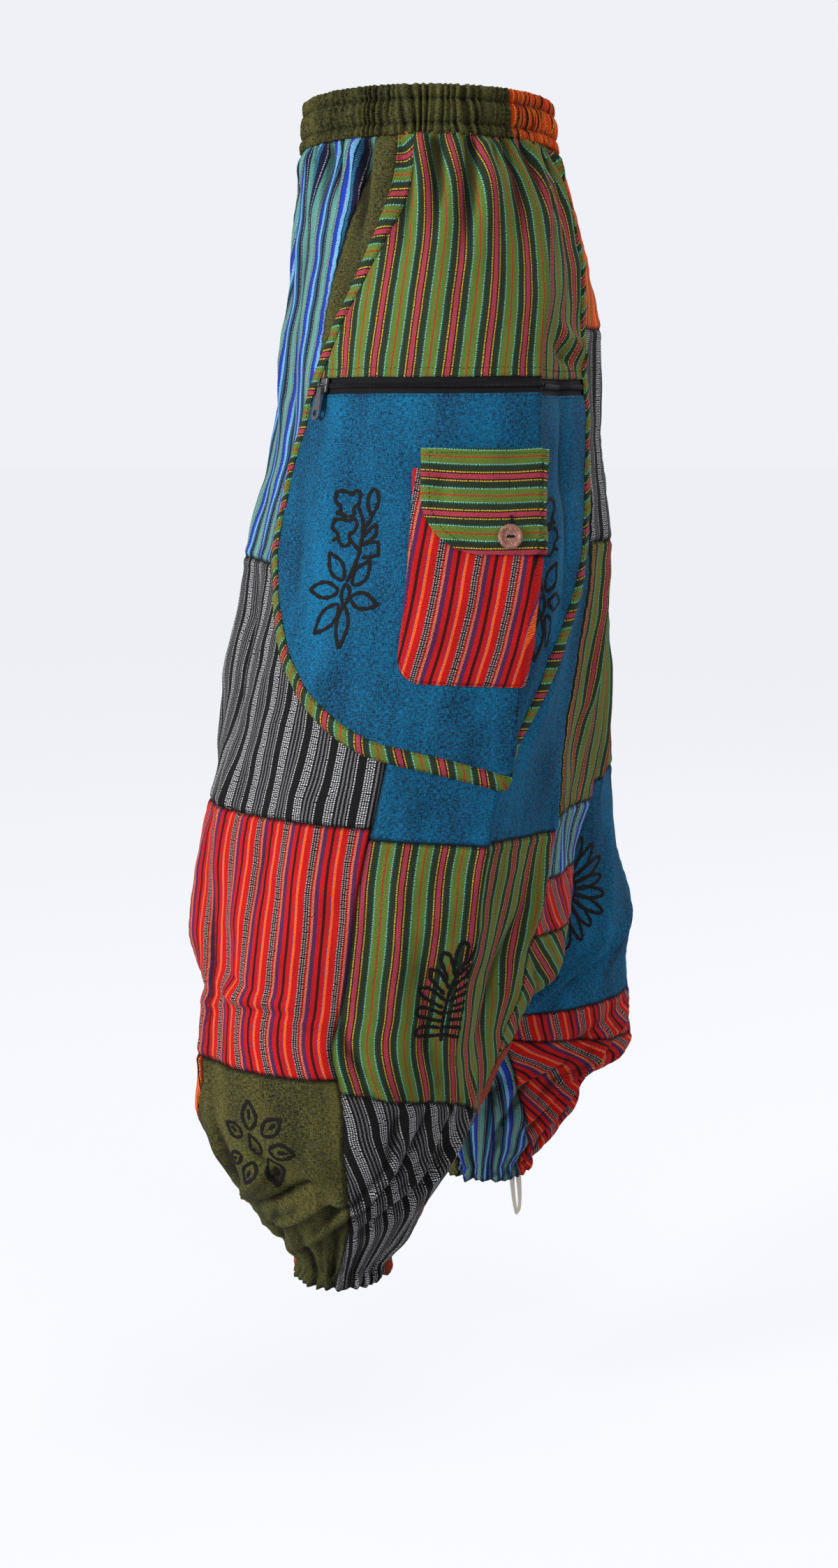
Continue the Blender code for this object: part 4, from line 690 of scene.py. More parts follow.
def aged_with_painted_shade(tree, shader, uv, colour, wear):
    """Uneven yarn, a handwoven cloth's cloudy dye, and paler wear, on top of a cloth's own colour, then darkened by the
    seam attribute along seam lines, and as painted shade in fold hollows, rib valleys and stitch grooves.
    """
    yarn = add_node(tree, "ShaderNodeTexNoise", {"Vector": uv, "Scale": 820.0, "Detail": 1.0}).outputs[0]
    stretch = add_node(tree, "ShaderNodeMapping", {"Vector": uv, "Scale": (260.0, 26.0, 1.0)})
    slub = add_node(tree, "ShaderNodeTexNoise", {"Vector": stretch.outputs[0], "Scale": 1.0, "Detail": 3.0}).outputs[0]
    cloud = add_node(tree, "ShaderNodeTexNoise", {"Vector": uv, "Scale": 16.0, "Detail": 3.0}).outputs[0]
    tone = maths(tree, "MULTIPLY_ADD", yarn, 1.2, 0.42)
    tone = maths(tree, "MULTIPLY", tone, maths(tree, "MULTIPLY_ADD", slub, 0.50, 0.75))
    tone = maths(tree, "MULTIPLY", tone, maths(tree, "MULTIPLY_ADD", cloud, 2 * wear, 1.0 - wear))
    shaded = add_node(tree, "ShaderNodeVectorMath", {0: colour, 3: tone}, operation="SCALE")
    # Painted shade: the seam attribute darkens seam lines, fold hollows, the waistband's rib valleys and its stitch
    # grooves.
    seam = add_node(tree, "ShaderNodeAttribute", {}, attribute_name="seam").outputs[2]
    dark = add_node(tree, "ShaderNodeVectorMath", {0: shaded.outputs[0], 3: 0.22}, operation="SCALE")
    toned = mixed(tree, seam, shaded.outputs[0], dark.outputs[0])
    tree.links.new(toned, shader.inputs["Base Color"])


def chambray(name, warp_tint, weft_tint, wear=0.22):
    """A plain cloth woven from two yarns: their threads show singly, and run cloudy down the cloth."""
    made, tree, shader = blank_material(name, 0.88)
    uv, u, v = uv_axes(tree)
    threads = []
    for scale in ((1100.0, 300.0, 1.0), (300.0, 1100.0, 1.0)):
        drawn_out = add_node(tree, "ShaderNodeMapping", {"Vector": uv, "Scale": scale})
        threads.append(add_node(tree, "ShaderNodeTexNoise", {"Vector": drawn_out.outputs[0], "Scale": 1.0}).outputs[0])
    grid = maths(tree, "MULTIPLY", maths(tree, "ADD", *threads), 0.5)
    streak = add_node(tree, "ShaderNodeMapping", {"Vector": uv, "Scale": (26.0, 9.0, 1.0)})
    cloud = add_node(tree, "ShaderNodeTexNoise", {"Vector": streak.outputs[0], "Scale": 1.0, "Detail": 4.0}).outputs[0]
    share = maths(
        tree, "ADD", maths(tree, "MULTIPLY_ADD", grid, 3.8, -1.42), maths(tree, "MULTIPLY_ADD", cloud, 1.5, -0.75)
    )
    share = add_node(tree, "ShaderNodeClamp", {0: share}).outputs[0]
    colour = mixed(tree, share, rgb(*weft_tint), rgb(*warp_tint))
    aged_with_painted_shade(tree, shader, uv, colour, wear)
    thread_bump(tree, shader, uv, u, v, 0.0010, 0.00022)
    return made


def edge_relief(round_, edges):
    """The groove, allowance and pucker beside a patch's seams, and how near each point is to a seam."""
    height = np.zeros_like(round_)
    nearest = np.full_like(round_, 1.0)
    for distance, along in edges:
        height -= SEAM_SINK * np.exp(-((distance / 0.0020) ** 2))
        height += ALLOWANCE_RISE * smooth_step(distance / 0.002) * smooth_step((0.009 - distance) / 0.003)
        ripple = np.sin(along * math.tau / PUCKER_PITCH + 1.7 * np.sin(along * 41.0))
        height += PUCKER_HEIGHT * ripple * np.exp(-distance / 0.008)
        nearest = np.minimum(nearest, distance)
    return height, np.exp(-((nearest / 0.0009) ** 2))


def cloth_mesh(name, points, coordinates, seam, side):
    """A single sheet of quads over a grid of points, its outer side out, with its weave and its seam attribute: darker
    seam lines, and painted shade in fold hollows, rib valleys and stitch grooves.
    """
    rows, columns = points.shape[:2]
    corner = np.arange(rows * columns).reshape(rows, columns)
    ring = [corner[:-1, :-1], corner[:-1, 1:], corner[1:, 1:], corner[1:, :-1]]
    quads = np.stack(ring if side < 0 else ring[::-1], axis=-1).reshape(-1, 4)
    mesh = bpy.data.meshes.new(name)
    mesh.from_pydata(points.reshape(-1, 3).tolist(), [], quads.tolist())
    set_weave(mesh, coordinates.reshape(-1, 2))
    shade = mesh.attributes.new("seam", "FLOAT", "POINT")
    shade.data.foreach_set("value", np.ascontiguousarray(seam, np.float32).ravel())
    return mesh


def thickened(piece, thickness=CLOTH_THICKNESS):
    wall = piece.modifiers.new("Cloth thickness", "SOLIDIFY")
    wall.thickness = thickness
    wall.offset = -1.0
    return piece


def turned_weave(u, v, degrees):
    angle = math.radians(degrees)
    return np.stack([u * math.cos(angle) + v * math.sin(angle), v * math.cos(angle) - u * math.sin(angle)], axis=-1)


PATCHES = []


def sew_patch(leg, name, finish, left, right, top, bottom, weave_turn=0, weave_start=0.0):
    """One patch of a leg between two seams that run down it, its top and bottom depths given at each."""
    depths = np.linspace(min(top), max(bottom), 25)
    widths = (seam_round(right, depths) - seam_round(left, depths)) * np.interp(depths, leg.drops, leg.girth)
    wide, tall = float(widths.max()), max(bottom) - min(top)
    rows, columns = max(6, round(tall / MESH_PITCH)), max(6, round(wide / MESH_PITCH))
    i, j = np.meshgrid(np.linspace(0, 1, rows), np.linspace(0, 1, columns), indexing="ij")
    head = top[0] + (top[1] - top[0]) * j
    foot = bottom[0] + (bottom[1] - bottom[0]) * j
    drop = head + (foot - head) * i
    start, end = seam_round(left, drop), seam_round(right, drop)
    round_ = start + (end - start) * j
    here = np.interp(drop, leg.drops, leg.girth)
    along = leg.across_of(round_, drop)
    edges = [((round_ - start) * here, drop), ((end - round_) * here, drop), (drop - head, along), (foot - drop, along)]
    height, seam = edge_relief(round_, edges)
    # The seam attribute: darker along the seam lines, and painted shade in the fold hollows.
    seam = np.maximum(seam, painted_fold_shade(leg, round_, drop))
    points = leg.at(round_, drop, relief(leg, round_, drop) + height)
    let_out = GATHERED_ABOVE + 0.03 * np.logaddexp(0, (drop - GATHERED_ABOVE) / 0.03)
    flat_across = leg.across_of(round_, np.minimum(let_out, GATHERED_BELOW))
    coordinates = turned_weave(flat_across - float(flat_across.min()) + weave_start, drop, weave_turn)
    piece = finished(name + "_cloth", cloth_mesh(name, points, coordinates, seam, leg.side), finish, "garment", [name])
    thickened(piece)
    PATCHES.append((leg, left, right, top, bottom))
    return piece


FRONT = ((0.0, 0.0), (1.0, 0.0))
BACK = ((0.0, 1.0), (1.0, 1.0))
LEFT_WEDGE = (
    (0.035, 0.345), (0.060, 0.322), (0.090, 0.304), (0.120, 0.288), (0.150, 0.275), (0.180, 0.268),
    (0.215, 0.275), (0.250, 0.330), (0.290, 0.420), (0.330, 0.470), (1.0, 0.470),
)
LEFT_SIDE = ((0.035, 0.483), (0.60, 0.480), (0.75, 0.497), (0.83, 0.480), (0.95, 0.450))
LEFT_FRONT = ((0.0, 0.345), (0.770, 0.345), (0.795, 0.320), (0.820, 0.280), (0.850, 0.245), (1.0, 0.225))
LEFT_REAR = ((0.0, 0.80), (0.53, 0.80), (0.70, 0.785), (0.78, 0.745), (0.85, 0.700), (0.95, 0.670))
RIGHT_SIDE = ((0.0, 0.40), (0.60, 0.40), (0.95, 0.34))
RIGHT_REAR = ((0.0, 0.80), (0.50, 0.80), (0.60, 0.78), (0.75, 0.74), (0.82, 0.73), (0.95, 0.72))
RIGHT_INNER = ((0.78, 0.967), (0.82, 0.962), (0.868, 0.930), (0.918, 0.870), (0.95, 0.855))
RIGHT_TUCK = ((0.80, 0.14), (0.95, 0.14))


# The green-striped patches: a lime, rose, black and teal stripe with yellow pin lines, woven in cotton
# about 0.5 mm thick. It makes the calf of the left leg, much of the seat, and the crotch gusset.
LIME, LIME_SHADE = (106, 128, 50), (66, 88, 30)
BLACK_GREEN, DARK_SHADE = (14, 20, 14), (48, 60, 38)
ROSE, ROSE_SHADE = (184, 64, 80), (120, 34, 50)
YELLOW, YELLOW_SHADE = (214, 180, 54), (92, 74, 26)
MINT, TEAL = (142, 190, 166), (30, 104, 90)
BLACK, RED_LINE = (10, 9, 10), (178, 44, 30)
green_stripe = woven_stripes("green_stripe", (
    (4.3, LIME, LIME_SHADE, 1.0), (1.2, RED_LINE, (120, 60, 30), 0.0), (4.3, LIME, LIME_SHADE, 1.0),
    (0.8, MINT, TEAL, 0.0), (0.8, TEAL, BLACK_GREEN, 0.0), (4.1, BLACK_GREEN, DARK_SHADE, 1.0),
    (1.0, YELLOW, YELLOW_SHADE, 0.0), (0.9, BLACK, BLACK, 0.0), (3.6, ROSE, ROSE_SHADE, 1.0),
    (0.9, BLACK, BLACK, 0.0), (1.0, YELLOW, YELLOW_SHADE, 0.0), (4.1, BLACK_GREEN, DARK_SHADE, 1.0),
    (0.8, TEAL, BLACK_GREEN, 0.0), (0.8, MINT, TEAL, 0.0),
))
for row in (
    (left_leg, "left_side_green", LEFT_SIDE, LEFT_REAR, (0.565, 0.565), (0.765, 0.810), 0, 0.004),
    (left_leg, "left_back_green", LEFT_REAR, BACK, (0.345, 0.345), (0.555, 0.551), 0, 0.010),
    (left_leg, "left_crotch_green", LEFT_REAR, BACK, (0.656, 0.652), (0.765, 0.755), -52, 0.006),
    (right_leg, "right_front_green", FRONT, RIGHT_SIDE, (0.560, 0.545), (0.840, 0.838), 0, 0.002),
    (right_leg, "right_side_green", RIGHT_SIDE, RIGHT_REAR, (0.035, 0.035), (0.545, 0.556), 0, 0.012),
    (right_leg, "right_back_green", RIGHT_REAR, BACK, (0.345, 0.345), (0.556, 0.566), 4, 0.008),
):
    leg, name, left, right_seam, top, bottom, weave_turn, weave_start = row
    sew_patch(leg, name, green_stripe, left, right_seam, top, bottom, weave_turn, weave_start)


# The red-striped patches: bright red cotton with black and white ladder bands, purple, peach and orange
# lines. The left knee, the crotch and the whole back of the right calf are cut from it.
RED, DEEP_RED, MAROON, ECRU = (210, 14, 14), (146, 8, 12), (66, 10, 18), (178, 160, 154)
WHITE, PEACH, PURPLE, ORANGE_LINE = (196, 176, 164), (216, 134, 96), (86, 44, 104), (232, 124, 38)
red_stripe = woven_stripes("red_stripe", (
    (0.9, BLACK, ECRU, 0.0), (0.8, BLACK, BLACK, 0.0), (0.9, BLACK, ECRU, 0.0), (0.8, BLACK, BLACK, 0.0),
    (0.9, BLACK, ECRU, 0.0), (1.6, MAROON, RED, 0.0), (1.8, PEACH, DEEP_RED, 1.0), (3.1, PURPLE, MAROON, 1.0),
    (3.4, RED, DEEP_RED, 1.0), (2.3, BLACK, MAROON, 1.0), (3.0, RED, DEEP_RED, 1.0), (0.7, PURPLE, PURPLE, 0.0),
    (2.1, ORANGE_LINE, RED, 1.0), (4.8, RED, DEEP_RED, 1.0),
))
for row in (
    (left_leg, "left_front_red", FRONT, LEFT_SIDE, (0.568, 0.557), (0.756, 0.756), 0, 0.011),
    (left_leg, "left_back_red", LEFT_REAR, BACK, (0.606, 0.606), (0.656, 0.652), -40, 0.0),
    (right_leg, "right_front_red", FRONT, RIGHT_SIDE, (0.300, 0.300), (0.560, 0.545), 0, 0.006),
    (right_leg, "right_back_red", RIGHT_REAR, BACK, (0.764, 0.764), (0.806, 0.784), 22, 0.0),
    (right_leg, "right_lower_red", RIGHT_REAR, RIGHT_INNER, (0.806, 0.787), (0.936, 0.936), 62, 0.004),
):
    leg, name, left, right_seam, top, bottom, weave_turn, weave_start = row
    sew_patch(leg, name, red_stripe, left, right_seam, top, bottom, weave_turn, weave_start)


# The grey-striped patches: black cotton with a grey ladder band and fine grey twill lines. They make the
# left thigh, the gathered left shin and parts of the hips.
GREY, PALE_GREY, SOFT_BLACK = (136, 136, 138), (206, 206, 208), (13, 13, 15)
grey_stripe = woven_stripes("grey_stripe", (
    (5.2, SOFT_BLACK, BLACK, 1.0), (1.1, BLACK, PALE_GREY, 0.0), (0.8, BLACK, BLACK, 0.0), (1.1, BLACK, PALE_GREY, 0.0),
    (0.8, BLACK, BLACK, 0.0), (1.1, BLACK, PALE_GREY, 0.0), (0.8, BLACK, BLACK, 0.0), (1.1, BLACK, PALE_GREY, 0.0),
    (1.9, SOFT_BLACK, BLACK, 1.0),
    (1.4, GREY, SOFT_BLACK, 1.0), (1.8, SOFT_BLACK, BLACK, 1.0), (1.4, GREY, SOFT_BLACK, 1.0),
    (1.8, SOFT_BLACK, BLACK, 1.0), (1.4, GREY, SOFT_BLACK, 1.0), (1.2, BLACK, BLACK, 0.0),
    (1.0, BLACK, PALE_GREY, 0.0), (1.6, SOFT_BLACK, BLACK, 0.0),
))
for row in (
    (left_leg, "left_front_grey", FRONT, LEFT_SIDE, (0.366, 0.366), (0.568, 0.557), 0, 0.006),
    (left_leg, "left_side_grey", LEFT_SIDE, LEFT_REAR, (0.765, 0.810), (0.948, 0.948), -6, 0.003),
    (left_leg, "left_back_grey", LEFT_REAR, BACK, (0.180, 0.180), (0.345, 0.345), 0, 0.002),
    (right_leg, "right_front_grey", FRONT, RIGHT_SIDE, (0.035, 0.035), (0.300, 0.300), 0, 0.009),
):
    leg, name, left, right_seam, top, bottom, weave_turn, weave_start = row
    sew_patch(leg, name, grey_stripe, left, right_seam, top, bottom, weave_turn, weave_start)


# The blue-striped patches: navy, sea-green and royal blue stripes with white and yellow lines. One is
# the left hip in front, one a strip behind the calf, and one is gathered into the right cuff's inner side.
NAVY, SEA_GREEN, ROYAL, CYAN = (14, 26, 70), (64, 122, 116), (16, 62, 172), (104, 164, 192)
blue_stripe = woven_stripes("blue_stripe", (
    (3.6, NAVY, BLACK, 1.0), (0.6, WHITE, NAVY, 0.0), (1.6, NAVY, BLACK, 1.0), (5.2, SEA_GREEN, (98, 156, 146), 1.0),
    (0.6, WHITE, SEA_GREEN, 0.0), (3.0, SEA_GREEN, (70, 130, 130), 1.0), (0.8, YELLOW, NAVY, 0.0),
    (2.4, NAVY, ROYAL, 1.0), (3.6, ROYAL, (20, 52, 150), 1.0), (0.8, WHITE, ROYAL, 0.0),
    (3.2, CYAN, (90, 160, 200), 1.0),
    (1.0, NAVY, NAVY, 0.0), (2.4, (44, 120, 150), NAVY, 1.0),
))
for row in (
    (left_leg, "left_front_blue_stripe", FRONT, LEFT_WEDGE, (0.035, 0.035), (0.366, 0.366), 11, 0.004),
    (left_leg, "left_back_blue_stripe", LEFT_REAR, BACK, (0.555, 0.551), (0.606, 0.606), 0, 0.020),
    (right_leg, "right_side_blue_stripe", RIGHT_SIDE, RIGHT_REAR, (0.545, 0.556), (0.822, 0.816), 0, 0.015),
    (right_leg, "right_inner_blue_stripe", RIGHT_INNER, BACK, (0.787, 0.784), (0.936, 0.936), 10, 0.0),
    (right_leg, "right_front_blue_stripe", FRONT, RIGHT_TUCK, (0.840, 0.840), (0.936, 0.936), -8, 0.0),
):
    leg, name, left, right_seam, top, bottom, weave_turn, weave_start = row
    sew_patch(leg, name, blue_stripe, left, right_seam, top, bottom, weave_turn, weave_start)


# The blue chambray patches: a teal warp over a navy weft, faded unevenly. One is the left thigh under the
# side panel, and the other, behind the right calf, carries a block-printed half sun.
blue_cotton = chambray("blue_cotton", (6, 106, 148), (7, 32, 56))
sew_patch(left_leg, "left_side_blue", blue_cotton, LEFT_SIDE, LEFT_REAR, (0.035, 0.035), (0.565, 0.565))
sew_patch(right_leg, "right_back_blue", blue_cotton, RIGHT_REAR, BACK, (0.556, 0.566), (0.764, 0.764))


# The olive chambray patches: olive over black. They make the left shin's front, a narrow strip of the
# left hip, and parts of the right leg.
olive_cotton = chambray("olive_cotton", (92, 89, 42), (18, 18, 9), 0.16)
for row in (
    (left_leg, "left_front_olive_strip", LEFT_WEDGE, LEFT_SIDE, (0.035, 0.035), (0.366, 0.366)),
    (left_leg, "left_front_olive", LEFT_FRONT, LEFT_SIDE, (0.756, 0.756), (0.948, 0.948)),
    (right_leg, "right_front_olive", RIGHT_TUCK, RIGHT_SIDE, (0.840, 0.838), (0.936, 0.936)),
    (right_leg, "right_back_olive", RIGHT_REAR, BACK, (0.200, 0.200), (0.345, 0.345)),
):
    leg, name, left, right_seam, top, bottom = row
    sew_patch(leg, name, olive_cotton, left, right_seam, top, bottom)


# The orange-striped patches, hot orange cotton with yellow and rust lines, at the left shin's inner
# front, both sides of the back under the waistband, and the right cuff's outer side; and one plain rust
# strip up the back of the left shin.
ORANGE, RUST, BRIGHT_YELLOW = (236, 88, 20), (150, 52, 20), (244, 176, 48)
ORANGE_BANDS = (
    (3.4, ORANGE, (206, 54, 12), 1.0), (0.8, BRIGHT_YELLOW, ORANGE, 0.0), (1.6, ORANGE, RUST, 1.0),
    (1.6, (60, 22, 14), BLACK, 0.0),
    (0.8, BRIGHT_YELLOW, RUST, 0.0), (2.6, (224, 60, 22), RUST, 1.0), (1.0, BLACK, RUST, 0.0),
    (1.8, (206, 120, 40), RUST, 1.0),
)
orange_stripe = woven_stripes("orange_stripe", ORANGE_BANDS)
for row in (
    (left_leg, "left_front_orange", FRONT, LEFT_FRONT, (0.756, 0.756), (0.948, 0.948)),
    (left_leg, "left_back_orange", LEFT_REAR, BACK, (0.035, 0.035), (0.180, 0.180)),
    (right_leg, "right_side_orange", RIGHT_SIDE, RIGHT_REAR, (0.822, 0.816), (0.936, 0.936)),
    (right_leg, "right_back_orange", RIGHT_REAR, BACK, (0.035, 0.035), (0.200, 0.200)),
):
    leg, name, left, right_seam, top, bottom = row
    sew_patch(leg, name, orange_stripe, left, right_seam, top, bottom)
rust_cotton = chambray("rust_cotton", (160, 58, 24), (96, 28, 14), 0.12)
sew_patch(
    left_leg, "left_back_rust", rust_cotton, LEFT_REAR, BACK, (0.765, 0.755), (0.948, 0.948)
)


# The waistband: a straight strip of olive chambray, orange stripe at the back, folded double over one wide
# elastic. Two rows of stitching split it into channels, the elastic gathers it into ribs, and below
# the lower row it stands out as a short frill.
BAND_PROFILE = (
    (0.0360, -0.0022), (0.0282, -0.0012), (0.0190, -0.0030), (0.0098, -0.0012), (0.0030, -0.0026),
    (-0.0004, -0.0014), (-0.0010, 0.0006), (0.0004, 0.0022), (0.0036, 0.0032), (0.0070, 0.0028),
    (0.0092, 0.0010), (0.0104, 0.0010), (0.0128, 0.0030), (0.0165, 0.0040), (0.0215, 0.0040),
    (0.0255, 0.0028), (0.0276, 0.0010), (0.0288, 0.0010), (0.0312, 0.0030), (0.0345, 0.0036), (0.0378, 0.0032),
)
BAND_RIBS = 150


def waist_points(turns, drop, out):
    """Points round the whole waist: 0 is the centre front, and 1 and -1 are both the centre back."""
    near = left_leg.at(np.abs(turns), np.maximum(drop, 0), out)
    far = right_leg.at(np.abs(turns), np.maximum(drop, 0), out)
    side = (turns >= 0)[..., None]
    share = (smooth_step(np.abs(turns) / 0.012) * smooth_step((1 - np.abs(turns)) / 0.012))[..., None]
    points = np.where(side, near, far)
    points = points * share + (near + far) / 2 * (1 - share)
    points[..., 2] -= np.minimum(drop, 0)
    return points


def waist_ribs(turns, drop):
    around = np.pi * turns
    phase = BAND_RIBS * around + 2.6 * np.sin(5 * around + 1) + 1.9 * np.sin(17 * around + 60 * drop)
    phase = phase + 1.3 * np.sin(41 * around + 2) + 26 * (drop - 0.02) * np.sin(29 * around)
    size = 0.0017 + 0.0006 * np.sin(23 * around + 3) + 0.0005 * np.sin(61 * around + 90 * drop)
    rib = np.sin(phase)
    return size * (np.abs(rib) ** 0.7 * np.sign(rib) - 0.2)


def band_piece(name, finish, start, end, gather):
    profile = np.array(BAND_PROFILE)
    columns = round((end - start) * BAND_RIBS * 4.4)
    turns, row = np.meshgrid(np.linspace(start, end, columns), np.arange(len(profile)))
    drop, out = profile[row, 0], profile[row, 1]
    turns = np.where(turns > 1, turns - 2, turns)
    ribs = waist_ribs(turns, drop)
    points = waist_points(turns, drop, out + ribs)
    # Painted shade: the rib valleys and the grooves along the two stitched rows are darkened through the seam
    # attribute.
    painted_stitch_groove_shade = np.exp(-(((drop - 0.0098) / 0.0016) ** 2)) + np.exp(-(((drop - 0.0282) / 0.0016) ** 2))
    shade = np.clip(0.6 * smooth_step((-0.0008 - ribs) / 0.0014) + 0.5 * painted_stitch_groove_shade, 0, 1)
    steps = np.linalg.norm(np.diff(points, axis=0), axis=2).mean(axis=1)
    down = np.concatenate([[0.0], np.cumsum(steps)])[row]
    girth = float(left_leg.girth[0]) * (end - start)
    u = np.linspace(0, girth * gather, columns)[None, :] + 0 * down
    mesh = cloth_mesh(name, points, np.stack([u, down], axis=-1), shade, 1)
    piece = finished(name + "_cloth", mesh, finish, "garment", [name])
    thickened(piece)
    return piece


band_piece("waistband_olive", olive_cotton, -0.60, 0.60, 1.7)
band_piece("waistband_orange", orange_stripe, 0.60, 1.40, 1.7)


# The side panels: one on each hip, laid over the leg's patches and caught under the waistband. The
# upper part is green stripe gathered at the waist, and the lower one blue chambray. Together they
# make the big hip pocket's front, and come down to a point on the side crease.
FRONT_OUTLINE = (
    (-0.105, 0.0355), (-0.122, 0.080), (-0.153, 0.140), (-0.180, 0.190), (-0.208, 0.235), (-0.230, 0.280),
    (-0.239, 0.335), (-0.235, 0.380), (-0.208, 0.426), (-0.165, 0.472), (-0.115, 0.500), (-0.055, 0.512),
    (0.0, 0.523),
)
BACK_OUTLINE = (
    (0.0, 0.523), (0.036, 0.474), (0.066, 0.426), (0.088, 0.382), (0.100, 0.330), (0.105, 0.270),
    (0.098, 0.205), (0.084, 0.140), (0.072, 0.0355),
)
OUTLINE_COUNT = 46
TIP = 25
PANEL_UNDER = 0.009
PANEL_OUT = 0.0042
ZIP_TOP, ZIP_FOOT = 0.2210, 0.2336


def outline_curve(points, count):
    """A smooth curve of evenly spaced points through an outline's own points."""
    table = np.array(points, float)
    run = np.concatenate([[0.0], np.cumsum(np.hypot(*np.diff(table, axis=0).T))])
    fine = np.linspace(0, run[-1], 400)
    tangent = np.gradient(table, run, axis=0)
    k = np.clip(np.searchsorted(run, fine) - 1, 0, len(run) - 2)
    step = (run[k + 1] - run[k])[:, None]
    t = (fine[:, None] - run[k][:, None]) / step
    curve = (2 * t**3 - 3 * t**2 + 1) * table[k] + (t**3 - 2 * t**2 + t) * step * tangent[k]
    curve += (3 * t**2 - 2 * t**3) * table[k + 1] + (t**3 - t**2) * step * tangent[k + 1]
    length = np.concatenate([[0.0], np.cumsum(np.hypot(*np.diff(curve, axis=0).T))])
    wanted = np.linspace(0, length[-1], count)
    return np.stack([np.interp(wanted, length, curve[:, i]) for i in range(2)], axis=1)


OUTLINE = np.vstack(
    [outline_curve(FRONT_OUTLINE, TIP + 1), outline_curve(BACK_OUTLINE, OUTLINE_COUNT - TIP)[1:]]
)


def moved_in(curve, distance):
    """The outline moved towards the middle of the panel, with its tip kept on the crease."""
    along = np.gradient(curve, axis=0)
    along /= np.linalg.norm(along, axis=1, keepdims=True)
    inward = np.stack([along[:, 1], -along[:, 0]], axis=1)
    inner = curve + distance * inward
    inner[[0, -1], 1] = curve[[0, -1], 1]
    inner[TIP, 0] = 0.0
    return inner


def smoothed(curve, first, last, count):
    """Evenly spaced points on a smooth line through a stretch of an outline."""
    part = curve[first:last + 1]
    steps = np.arange(len(part), dtype=float)
    wanted = np.linspace(0, len(part) - 1, count)
    return np.stack([through(steps, part[:, i], wanted) for i in range(2)], axis=1)


def crossing(curve, drop, first, last):
    """Where a stretch of an outline passes a depth."""
    part = curve[first:last]
    order = np.argsort(part[:, 1])
    return np.interp(drop, part[order, 1], part[order, 0])


def resampled(curve, rows):
    run = np.concatenate([[0.0], np.cumsum(np.hypot(*np.diff(curve, axis=0).T))])
    wanted = np.linspace(0, run[-1], rows)
    return np.stack([np.interp(wanted, run, curve[:, i]) for i in range(2)], axis=1)


def panel_rise(drop, out):
    """A layer's height over the patches: it comes down to them where the waistband holds it."""
    return 0.0013 + (out - 0.0013) * smooth_step((drop - 0.034) / 0.040)


def panel_rows(distance, top, bottom, rows):
    """Front, crease and back edges of the panel between two depths."""
    inner = moved_in(OUTLINE, distance)
    depths = np.linspace(top, bottom, rows)
    front = np.stack([crossing(inner, depths, 0, TIP), depths], axis=1)
    back = np.stack([crossing(inner, depths, TIP + 1, OUTLINE_COUNT), depths], axis=1)
    return front, np.stack([0 * depths, depths], axis=1), back


def over_crease(edges, columns):
    """A grid from the front edge over the crease to the back edge, with a number of columns each side."""
    front, crease, back = edges
    first = np.linspace(0, 1, columns[0])[None, :, None]
    second = np.linspace(0, 1, columns[1])[None, 1:, None]
    before = front[:, None] + (crease - front)[:, None] * first
    after = crease[:, None] + (back - crease)[:, None] * second
    return np.concatenate([before, after], axis=1)


def panel_piece(leg, name, finish, grid, out, coordinates):
    across, drop = grid[..., 0], grid[..., 1]
    points = on_cloth(leg, across, drop, panel_rise(drop, out))
    # The seam attribute carries painted shade in the fold hollows and a painted shadow behind the crease.
    mesh = cloth_mesh(name, points, coordinates, painted_fold_shade(leg, leg.round_of(across, drop), drop), leg.side)
    piece = finished(name + "_cloth", mesh, finish, "garment", [name])
    thickened(piece)
    return piece


for leg, prefix in ((left_leg, "left"), (right_leg, "right")):
    zipped = prefix == "left"
    green = over_crease(panel_rows(PANEL_UNDER, 0.0362, ZIP_TOP, 66), (66, 34))
    fan = 1 + 0.45 * np.exp(-(green[..., 1] - 0.030) / 0.060)
    weave = np.stack([(green[..., 0] + 0.060) * fan + 0.002, green[..., 1]], axis=-1)
    panel_piece(
        leg, prefix + "_panel_green", green_stripe, green,
        PANEL_OUT + (0.0 if zipped else 0.0002), weave,
    )
    inner = moved_in(OUTLINE, PANEL_UNDER)
    lower_top = ZIP_FOOT if zipped else ZIP_TOP + 0.0004
    front, back = inner[:TIP], inner[TIP + 1:][::-1]
    front = front[(front[:, 1] > lower_top) & (front[:, 0] < -0.012)]
    back = back[(back[:, 1] > lower_top) & (back[:, 0] > 0.012)]
    front = np.vstack([[(crossing(inner, lower_top, 0, TIP), lower_top)], front])
    back = np.vstack([[(crossing(inner, lower_top, TIP + 1, OUTLINE_COUNT), lower_top)], back])
    depths = np.linspace(lower_top, inner[TIP, 1] - 0.003, 110)
    crease = np.stack([0 * depths, depths], axis=1)
    blue = over_crease((resampled(front, 110), crease, resampled(back, 110)), (84, 36))
    panel_piece(leg, prefix + "_panel_blue", blue_cotton, blue, PANEL_OUT, blue)


